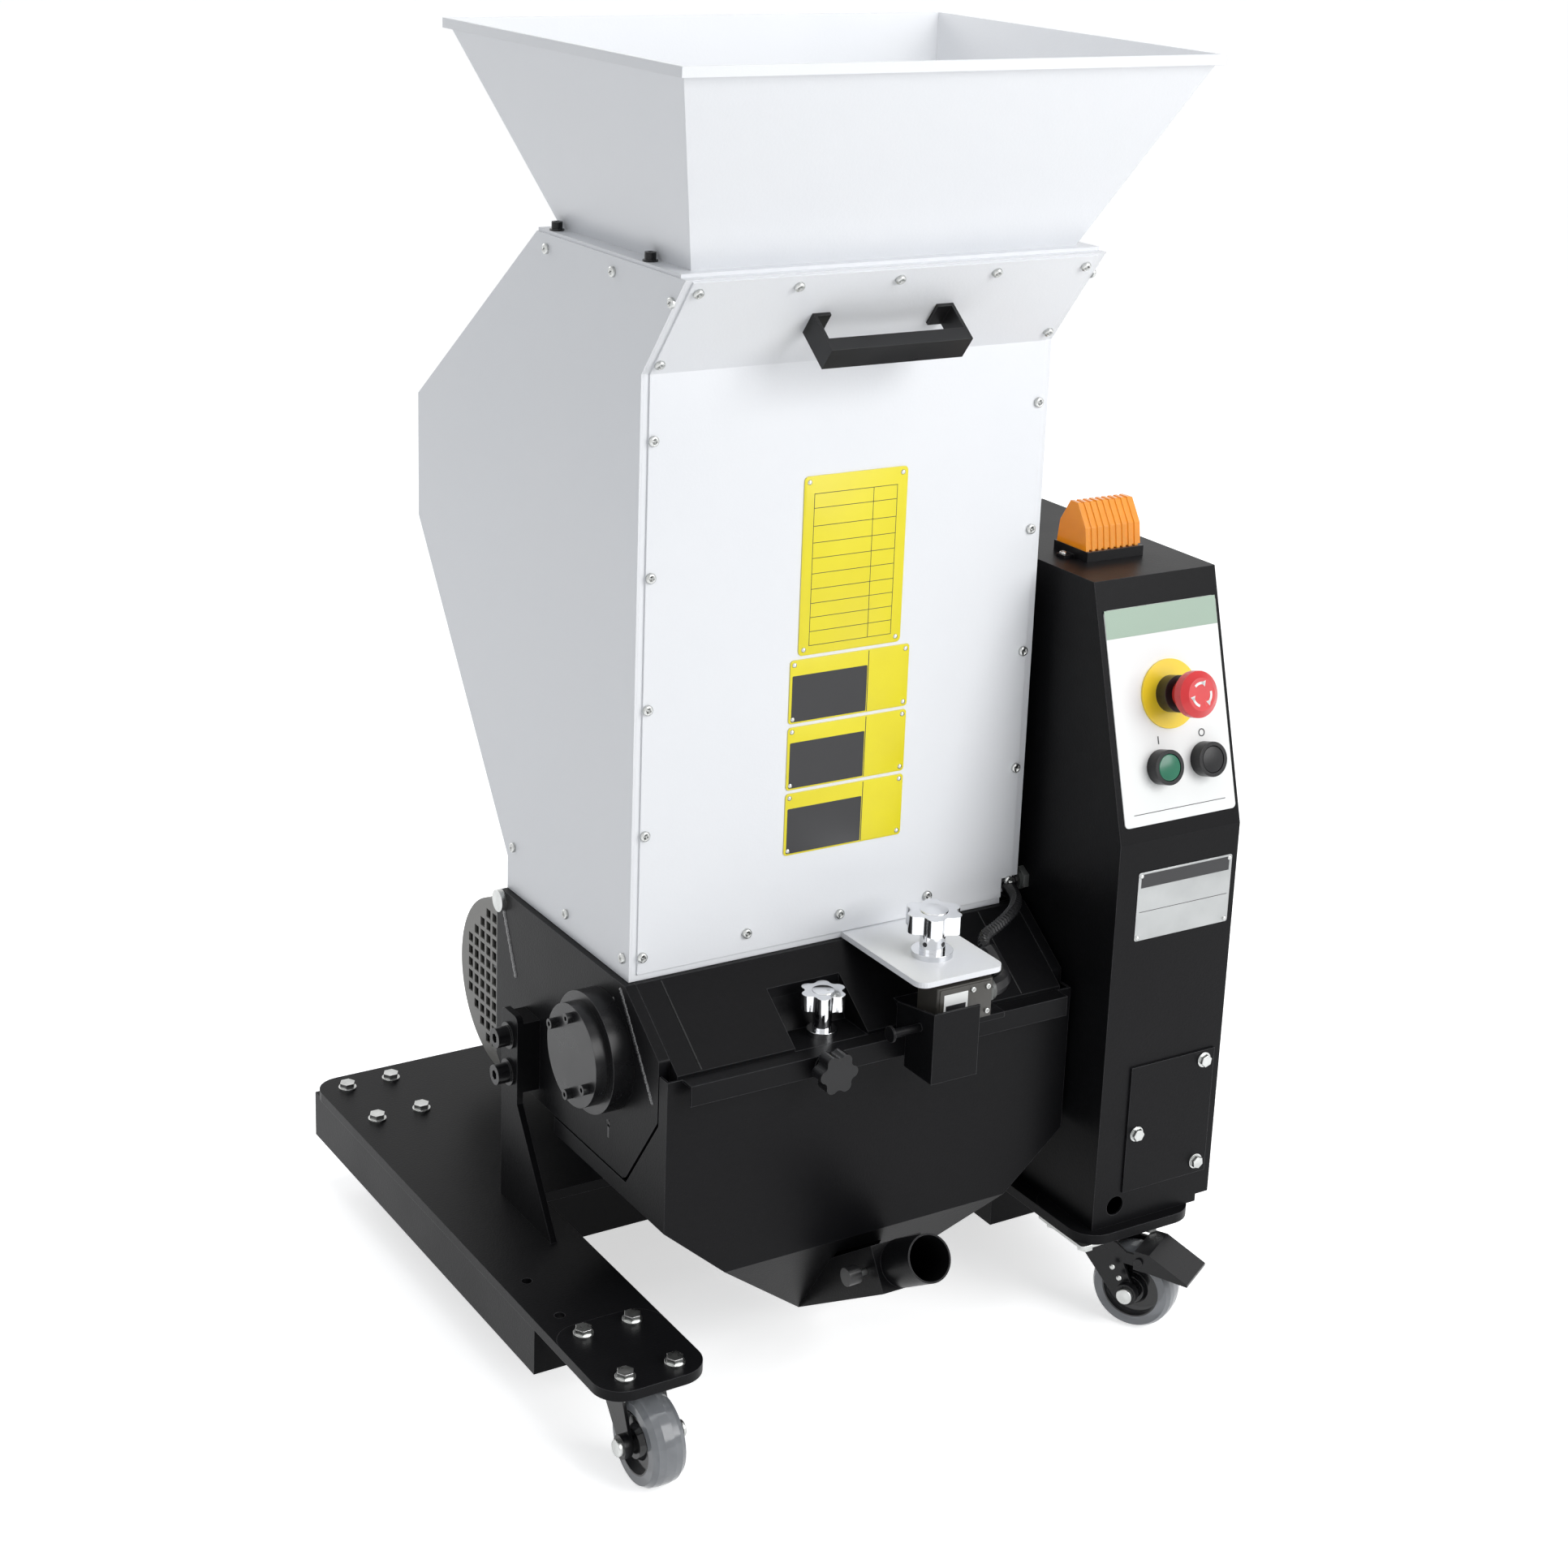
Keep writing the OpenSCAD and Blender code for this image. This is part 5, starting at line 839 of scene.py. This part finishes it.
face_heights = [(v.co - BEND_POINT).dot(SLOPE_OUT) for v in nodes["control_panel"].data.vertices]
PANEL_FACE = max(face_heights) / MM
PRINT = 0.1
print("panel foil stands", round(PANEL_FACE, 2), "mm proud")
slab("panel_band", on_panel(274.5, 187.6, PANEL_FACE), PALE_GREEN, "frame",
     wide=120.5, high=24.5, thick=PRINT)
NAMEPLATE_AT, NAMEPLATE_T = frame_at((281.5, -124, 404.5), FRONT), 0.6
slab("nameplate", NAMEPLATE_AT, ALUMINIUM, "frame",
     wide=103, high=63, thick=NAMEPLATE_T, corner=2, edge=0.15)
for name, up, high in (("nameplate_band", 23.5, 12.5), ("nameplate_field", -5, 0.5)):
    slab(name, on_nameplate(0, up), INK_AND_SHADE, "frame", wide=97, high=high, thick=PRINT)
corners = [on_nameplate(x, y) for x in (-48.5, 48.5) for y in (-28.5, 28.5)]
copies(rivet, "nameplate_rivets", corners, "frame")

# %% [markdown]
# ## Hexagon bolts of the access cover
# A hexagon is a cylinder with six sides. Its upper rim is bevelled, and its
# washer is a thin plain disc below it.

# %% Access-cover bolts
HEX_HEAD, HEX_HIGH, WASHER, WASHER_T = 5.8 * MM, 4.0 * MM, 7.0 * MM, 1.2 * MM
turned(HEX_HEAD, HEX_HIGH, 0.6 * MM, sides=6, foot=WASHER_T)
bpy.ops.mesh.primitive_cylinder_add(
    vertices=32, radius=WASHER, depth=WASHER_T, location=(0, 0, WASHER_T / 2))
hexagon = settle("hexagon_model")
hexagon.data.materials.append(ZINC)
COVER_BOLTS = ((319, 243, 0.2), (248, 187, 0.5), (319, 143, 0.9))  # across, up, turn
COVER_FACE = -126
cover_bolts = []
for x, z, turn in COVER_BOLTS:
    cover_bolts.append(frame_at((x, COVER_FACE, z), FRONT, (math.sin(turn), 0, math.cos(turn))))
copies(hexagon, "access_cover_bolts", cover_bolts, "frame")
print("cover bolts:", len(cover_bolts))

# %% [markdown]
# ## Ends of the two front arms
# The caster plates are bolted under the two front arms of the base, and
# each arm ends with round corners beyond its bolts. The solid's arms end too
# early for that, so a slab of the same thickness carries each one on.

# %% Arm ends
ARM_LOW, ARM_T, ARM_CORNER, ARM_OVERLAP, HAIR = 91, 9, 26, -45, 0.03
ARMS = (("left_arm_end", -290, -193, -153), ("right_arm_end", 193, 320, -135))  # name, from, to, tip
for name, x_from, x_to, tip in ARMS:
    middle = ((x_from + x_to) / 2, (tip + ARM_OVERLAP) / 2, ARM_LOW - HAIR)
    slab(name, frame_at(middle, UP, BACK), BLACK_COAT, "frame",
         wide=x_to - x_from - HAIR, high=ARM_OVERLAP - tip, thick=ARM_T + 2 * HAIR, corner=ARM_CORNER)
print("arm ends reach", [-arm[3] for arm in ARMS], "mm in front of the hopper")

# %% [markdown]
# ## Push buttons
# A button's bezel is a ring that stands well out of the panel, and the cap
# lies inside it, level with its rim. The ring is a cylinder whose end is
# inset and pressed in; the cap is a cylinder with a soft rim.

# %% Bezels and caps
BEZEL, CAP, STAND, RECESS = 15.2 * MM, 11.6 * MM, 12.5 * MM, 9 * MM
CAP_PLAY, CAP_HIGH, CAP_FOOT = 0.3 * MM, 4.5 * MM, STAND - 4.65 * MM
BUTTONS_ACROSS, BUTTONS_UP = (258, 305.5), 61
clear()
bpy.ops.mesh.primitive_cylinder_add(vertices=48, radius=BEZEL, depth=STAND, location=(0, 0, STAND / 2))
pick(lambda c, n: n.z > FACING)
bpy.ops.mesh.inset(thickness=BEZEL - CAP - CAP_PLAY)
bpy.ops.mesh.extrude_region_move(TRANSFORM_OT_translate={"value": (0, 0, -RECESS)})
pick_edges(lambda a, b: min(a.z, b.z) > STAND - HAIR * MM and min(a.length, b.length) > BEZEL - MM)
bpy.ops.mesh.bevel(offset=1.2 * MM, segments=3, affect="EDGES")
bezel = settle("bezel_model")
bezel.data.materials.append(BLACK_PLASTIC)
spots = [on_panel(x, BUTTONS_UP, 1) for x in BUTTONS_ACROSS]
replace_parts(copies(bezel, "push_button_bezels", spots, "frame"), "button_bezels")
CAPS = (("start", GREEN_PLASTIC, "green_plastic"), ("stop", BLACK_PLASTIC, "black_plastic"))
for spot, (name, paint, slot) in zip(spots, CAPS):
    turned(CAP, CAP_HIGH, 1.0 * MM, sides=48, steps=3, foot=CAP_FOOT)
    cap = fit(settle(name + "_cap"), spot, paint, name + "_button")
    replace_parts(cap, name + "_button")
print("buttons ready")

# %% [markdown]
# ## Caster details
# Each fork shows the cap of its axle, and the cheek of the braked one two
# rivets. The cap is a turned disc; a rivet is the upper half of a ball.

# %% Axle caps and rivets
AXLES = (("fork_fl", *WHEELS["wheel_fl"]), ("fork_fr", *WHEELS["wheel_fr"]))
AXLE_CAP, AXLE_CAP_HIGH, CAP_SUNK, RIVET_SUNK = 7.2 * MM, 4.4 * MM, 0.5, 0.2
turned(AXLE_CAP, AXLE_CAP_HIGH, 1.0 * MM, sides=32, steps=3)
axle_cap = settle("axle_cap_model")
axle_cap.data.materials.append(ZINC)
fork_low, fork_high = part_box("caster_fork_fl")
CHEEK = (fork_high[0] - fork_low[0]) / 2 / MM


def axle_directions(turn):
    """Along the axle, and ahead across it, for a fork turned by this angle."""
    return Vector((math.cos(turn), math.sin(turn), 0)), Vector((math.sin(turn), -math.cos(turn), 0))


for body, centre, turn in AXLES:
    out = axle_directions(turn)[0]
    caps = [frame_at(Vector(centre) + out * side * (CHEEK - CAP_SUNK), out * side) for side in (-1, 1)]
    copies(axle_cap, body + "_axle_caps", caps, body)
brake_rivet = dome("brake_rivet_model", 2.6 * MM, (1, 1, 0.55), ZINC, 20, 10)
BRAKE_RIVETS = ((-14, 24), (-7, 15))  # ahead of the axle, above it
body, centre, turn = AXLES[1]
out, ahead = axle_directions(turn)
places = []
for side in (-1, 1):
    for along, up in BRAKE_RIVETS:
        spot = Vector(centre) + ahead * along + Vector((0, 0, up))
        places.append(frame_at(spot + out * side * (CHEEK - RIVET_SUNK), out * side))
copies(brake_rivet, "brake_rivets", places, body)
print("cheek from the middle:", round(CHEEK, 2), "mm")

# %% [markdown]
# ## Weld beads on the chamber plate
# The chamber's walls are welded to its side plates through slots. A bead is
# a row of overlapping drops, so one flattened drop is modelled and copied
# along the seam with a slight weave.

# %% Weld beads
# The bead's colour, lighter than the coat, and its bright corner colour are a painted highlight along the
# seam.
WELD = finish(
    "weld_bead", (0.05, 0.05, 0.052), (0.02, 0.02, 0.021), (0.08, 0.16), 700, 0.00001,
    wear_and_highlight_colour=(0.35, 0.35, 0.36), wear_and_highlight_amount=1.0, cloud=60, shine=0.8)
drop = dome("weld_drop_model", 2.1 * MM, (1.3, 1.0, 0.5), WELD, 10, 6, floor=-0.2 * MM)
PLATE_FACE, WEAVE, WEAVE_TURN = -201, 0.5, 1.9


def seam(start, end, count):
    """Places along a seam on the left plate, weaving a little from side to side."""
    places = []
    for step in range(count + 1):
        share = step / count
        y = start[0] + (end[0] - start[0]) * share + WEAVE * math.sin(step * WEAVE_TURN)
        z = start[1] + (end[1] - start[1]) * share
        places.append(frame_at((PLATE_FACE, y, z), LEFT))
    return places


welds = seam((226, 366), (196, 300), 30) + seam((2, 366), (-54, 290), 38)
copies(drop, "plate_weld_beads", welds, "frame")
print("weld drops:", len(welds))

# %% [markdown]
# ## Seams on the sloped brow
# The brow is closed at each end by a strip welded in, which shows as a thin
# line down the slope. A slab a millimetre wide follows it.

# %% Brow seams
BROW_TOP, BROW_LOW, SEAM_SHARE = Vector((0, -5, 371.7)), Vector((0, -76.7, 320.7)), 0.97
down = BROW_LOW - BROW_TOP
brow_out = Vector((0, down.z, -down.y)).normalized()
for name, x in (("brow_seam_left", -168), ("brow_seam_right", 150)):
    middle = (BROW_TOP + BROW_LOW) / 2 + Vector((x, 0, 0))
    slab(name, frame_at(middle, brow_out, -down), BEARING, "frame",
         wide=1.2, high=down.length * SEAM_SHARE, thick=0.4, edge=0.15)

# %% [markdown]
# ## Details of the star knobs
# The hopper's knob turns in a chromed collar with cross holes over a black
# ring, and the screen's knob bears on a washer. Rings are cylinders whose
# rims are bevelled; a hole is drawn as a dark disc of painted shade, its
# middle sunk a little, because it is only a few millimetres across.

# %% Rings and discs
HOPPER_KNOB, SCREEN_KNOB = (54, -74), (-42, -57)
KNOB_RINGS = (
    # name, knob's axis, foot, radius, height, rim, finish, body
    ("lock_knob_foot_ring", HOPPER_KNOB, 377, 14.5, 2.2, 0.6, BLACK_PLASTIC, "hopper_lock_knob"),
    ("lock_knob_cap", HOPPER_KNOB, 416.6, 12.0, 1.2, 0.5, CHROME, "hopper_lock_knob"),
    ("screen_knob_cap", SCREEN_KNOB, 356.6, 9.5, 1.0, 0.4, CHROME, "screen_lock_knob"),
    ("screen_knob_washer", SCREEN_KNOB, 318, 12.5, 1.8, 0.4, ZINC, "screen_lock_knob"),
)
for name, (x, y), foot, radius, high, rim, paint, body in KNOB_RINGS:
    ring(name, frame_at((x, y, foot), UP, BACK), paint, body, radius, high, rim)
clear()
# A hole's dark disc is painted shade.
HOLE, HOLE_T, HOLE_AT = 2.1 * MM, 0.4 * MM, (0, 0, 0.1 * MM)
bpy.ops.mesh.primitive_cylinder_add(vertices=18, radius=HOLE, depth=HOLE_T, location=HOLE_AT)
pick(lambda c, n: n.z > FACING)
bpy.ops.mesh.inset(thickness=0.4 * MM)
bpy.ops.transform.translate(value=(0, 0, -0.15 * MM))
hole = settle("collar_hole_model")
hole.data.materials.append(INK_AND_SHADE)
COLLAR, COLLAR_MIDDLE, HOLE_START = 11, 389, 20
holes = []
for number in range(4):
    out = axle_directions(math.radians(HOLE_START + 90 * number))[0]
    holes.append(frame_at(Vector((*HOPPER_KNOB, COLLAR_MIDDLE)) + out * COLLAR, out))
copies(hole, "lock_knob_collar_holes", holes, "hopper_lock_knob")

# %% [markdown]
# ## Holes in the left chamber plate
# A keyhole below the bearing and a small gauge hole above it are cut through
# the plate. They are a few millimetres wide, so dark discs and a slot of
# painted shade on the plate's face show them.

# %% Plate holes
MARK, MARK_RIM = 0.08, 0.02
eye, slot_at, gauge = (frame_at((PLATE_FACE, y, z), LEFT) for y, z in ((19, 238), (19, 230.5), (14, 353)))
ring("plate_keyhole_eye", eye, INK_AND_SHADE, "frame", 3.4, MARK, MARK_RIM, sides=24)
slab("plate_keyhole_slot", slot_at, INK_AND_SHADE, "frame", wide=2.6, high=12, thick=MARK, corner=0.8)
ring("plate_gauge_hole", gauge, INK_AND_SHADE, "frame", 2.0, MARK, MARK_RIM, sides=20)

# %% [markdown]
# ## Safety switch
# Under the tab sits a limit switch with a screwed lid and a bare label.

# %% Switch
SWITCH_BODY = finish(
    "switch_casing", (0.045, 0.042, 0.036), (0.032, 0.030, 0.026), (0.35, 0.45), 500, 0.00003,
    wear_and_highlight_colour=(0.12, 0.12, 0.1), wear_and_highlight_amount=0.5, cloud=40)
nodes["safety_switch"].data.materials.clear()
nodes["safety_switch"].data.materials.append(SWITCH_BODY)
SWITCH_FACE, LID_T, LABEL_T, LID_SCREW_SHARE = -122, 0.9, 0.15, 0.55
LID_FACE = SWITCH_FACE - LID_T
slab("switch_lid", frame_at((56, SWITCH_FACE, 352), FRONT), SWITCH_BODY, "frame",
     wide=52, high=31, thick=LID_T, corner=1.5, edge=0.3)
slab("switch_label", frame_at((46, LID_FACE, 352), FRONT), FOIL_WHITE, "frame",
     wide=24, high=22, thick=LABEL_T, corner=0.5)
slab("switch_label_field", frame_at((46, LID_FACE - LABEL_T, 348), FRONT), INK_AND_SHADE, "frame",
     wide=20, high=10, thick=PRINT)
lid_screws = []
for x, z in ((78, 341), (78, 363), (63, 341), (63, 363)):
    lid_screws.append(frame_at((x, LID_FACE, z), FRONT) @ Matrix.Scale(LID_SCREW_SHARE, 4))
copies(screw, "switch_lid_screws", lid_screws, "frame")

# %% [markdown]
# ## Conduit glands
# A gland is a hexagon nut with a round collar. One stands on the switch, one
# on the wall of the control box, where the conduit ends.

# %% Glands
GLAND_NUT, GLAND_NUT_HIGH, NUT_RIM = 11.2 * MM, 5.5 * MM, 0.8 * MM
GLAND_COLLAR, COLLAR_HIGH, COLLAR_AT = 9.2 * MM, 4.0 * MM, (0, 0, 7.0 * MM)
turned(GLAND_NUT, GLAND_NUT_HIGH, NUT_RIM, sides=6)
bpy.ops.mesh.primitive_cylinder_add(
    vertices=32, radius=GLAND_COLLAR, depth=COLLAR_HIGH, location=COLLAR_AT)
gland = settle("gland_model")
GREY_PLASTIC = finish(
    "grey_plastic", (0.09, 0.095, 0.09), (0.06, 0.063, 0.06), (0.35, 0.45), 500, 0.00003,
    wear_and_highlight_colour=(0.2, 0.2, 0.2), wear_and_highlight_amount=0.4, cloud=40)
gland.data.materials.append(GREY_PLASTIC)
gland_places = [frame_at((84, -107, 351), RIGHT), frame_at((208, 9, 388), LEFT)]
copies(gland, "conduit_glands", gland_places, "frame")

# %% [markdown]
# ## Marks on the buttons
# An emergency stop shows three turning arrows, and start and stop show a bar
# and a ring, which are the plain marks for on and off. Arrows and ring are
# spun from one small face, so they have an even width; bar and line are slabs.


# %% Arrows, bar and ring
def arc_mark(name, place, radius, wide, angle, paint, body, head=0.0, turns=(0,)):
    """A flat arc in metres and degrees, with an arrow head if asked, repeated at each turn."""
    clear()
    middle, thick = PRINT * MM, 2 * PRINT * MM
    bpy.ops.mesh.primitive_plane_add(size=1, location=(radius, 0, middle), rotation=(math.pi / 2, 0, 0))
    bpy.ops.object.transform_apply(location=False, rotation=True)
    bpy.context.active_object.scale = (wide, 1, thick)
    bpy.ops.object.transform_apply(location=True, scale=True)
    bpy.ops.object.mode_set(mode="EDIT")
    bpy.ops.mesh.select_all(action="SELECT")
    steps = max(6, int(angle / 6))
    bpy.ops.mesh.spin(steps=steps, angle=math.radians(angle), center=(0, 0, 0), axis=(0, 0, 1))
    if head:
        end = math.radians(angle)
        at = (radius * math.cos(end), radius * math.sin(end), middle)
        bpy.ops.mesh.primitive_cylinder_add(
            vertices=3, radius=head, depth=thick, location=at, rotation=(0, 0, end))
    bpy.ops.mesh.select_all(action="SELECT")
    bpy.ops.mesh.remove_doubles(threshold=0.01 * MM)
    bpy.ops.mesh.normals_make_consistent(inside=False)
    model = settle(name + "_model")
    model.data.materials.append(paint)
    places = [place @ Matrix.Rotation(math.radians(turn), 4, "Z") for turn in turns]
    piece = copies(model, name, places, body)
    bpy.data.objects.remove(model)
    return piece


ARROWS_AT, MARKS_UP = on_panel(274.5, 122, 45), 84
arc_mark("estop_arrows", ARROWS_AT, 9.8 * MM, 2.2 * MM, 62, FOIL_WHITE, "estop_button",
         head=3.0 * MM, turns=(10, 130, 250))
start_at, stop_at = (on_panel(x, MARKS_UP, PANEL_FACE) for x in BUTTONS_ACROSS)
arc_mark("stop_ring_mark", stop_at, 3.0 * MM, 0.9 * MM, 360, INK_AND_SHADE, "frame")
slab("start_bar_mark", start_at, INK_AND_SHADE, "frame", wide=1.1, high=6.8, thick=2 * PRINT)
slab("panel_foot_line", on_panel(274.5, 24, PANEL_FACE), INK_AND_SHADE, "frame",
     wide=100, high=0.6, thick=PRINT)

# %% [markdown]
# ## Things on the sides that the photograph doesn't show
# The object is seen from all sides, so its back gets what such a machine
# has: a rear door with a lock and hinges on the control box, a terminal box
# with lid screws, gland and bare plate, and screws round the belt guard.

# %% Rear door, terminal box and guard
REAR_FACE, DOOR_T, DOOR_MIDDLE = 186, 1.5, 512
slab("rear_door", frame_at((273.5, REAR_FACE, DOOR_MIDDLE), BACK), BLACK_COAT, "frame",
     wide=112, high=300, thick=DOOR_T, corner=3, edge=0.4)
HINGE, HINGE_LONG, HINGE_RIM = 4.2 * MM, 45 * MM, 0.8 * MM
for number, z in enumerate((400, 624)):
    clear()
    bpy.ops.mesh.primitive_cylinder_add(vertices=20, radius=HINGE, depth=HINGE_LONG)
    pick(lambda c, n: abs(n.z) > FACING)
    bpy.ops.mesh.bevel(offset=HINGE_RIM, segments=2, affect="EDGES")
    hinge = settle("rear_door_hinge_%d" % (number + 1))
    spot = Vector((216, 189, z)) * MM + HOME
    fit(hinge, Matrix.Translation(spot), BLACK_COAT, "frame")
LOCK_FACE, LOCK_HIGH = REAR_FACE + DOOR_T, 4.5
ring("rear_door_lock", frame_at((320, LOCK_FACE, DOOR_MIDDLE), BACK), ZINC, "frame",
     radius=9.5, high=LOCK_HIGH, rim=1.0)
# The lock's key slot is a dark slab of painted shade.
lock_slot = frame_at((320, LOCK_FACE + LOCK_HIGH, DOOR_MIDDLE), BACK)
slab("rear_door_lock_slot", lock_slot, INK_AND_SHADE, "frame", wide=2.2, high=12, thick=2 * PRINT)
LID_SCREW, EAR_SCREW = Matrix.Scale(0.8, 4), Matrix.Scale(0.75, 4)
lid_screws = [frame_at((x, y, 330), UP, BACK) @ LID_SCREW for x in (3, 87) for y in (323, 401)]
copies(screw, "terminal_lid_screws", lid_screws, "frame")
slab("motor_plate", frame_at((45, 407, 311), BACK), ALUMINIUM, "frame",
     wide=60, high=24, thick=0.5, corner=1, edge=0.1)
copies(gland, "terminal_gland", [frame_at((0, 362, 308), LEFT)], "frame")
GUARD_SPOTS = ((200, 120), (200, 330), (436, 120), (436, 225), (320, 120))
guard_places = [frame_at((302, y, z), RIGHT) for y, z in GUARD_SPOTS]
copies(screw, "belt_guard_screws", guard_places, "frame")
ear_screws = [frame_at((x, 12, 684), UP, BACK) @ EAR_SCREW for x in (231.5, 308.5)]
copies(screw, "beacon_screws", ear_screws, "frame")
print("rear pieces done")

# %% Finish
for model in (screw, rule, rivet, hexagon, drop, hole, gland, bezel, axle_cap, brake_rivet):
    bpy.data.objects.remove(model)
low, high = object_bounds()
print("box with pieces:", [round(v, 4) for v in (*low, *high)])
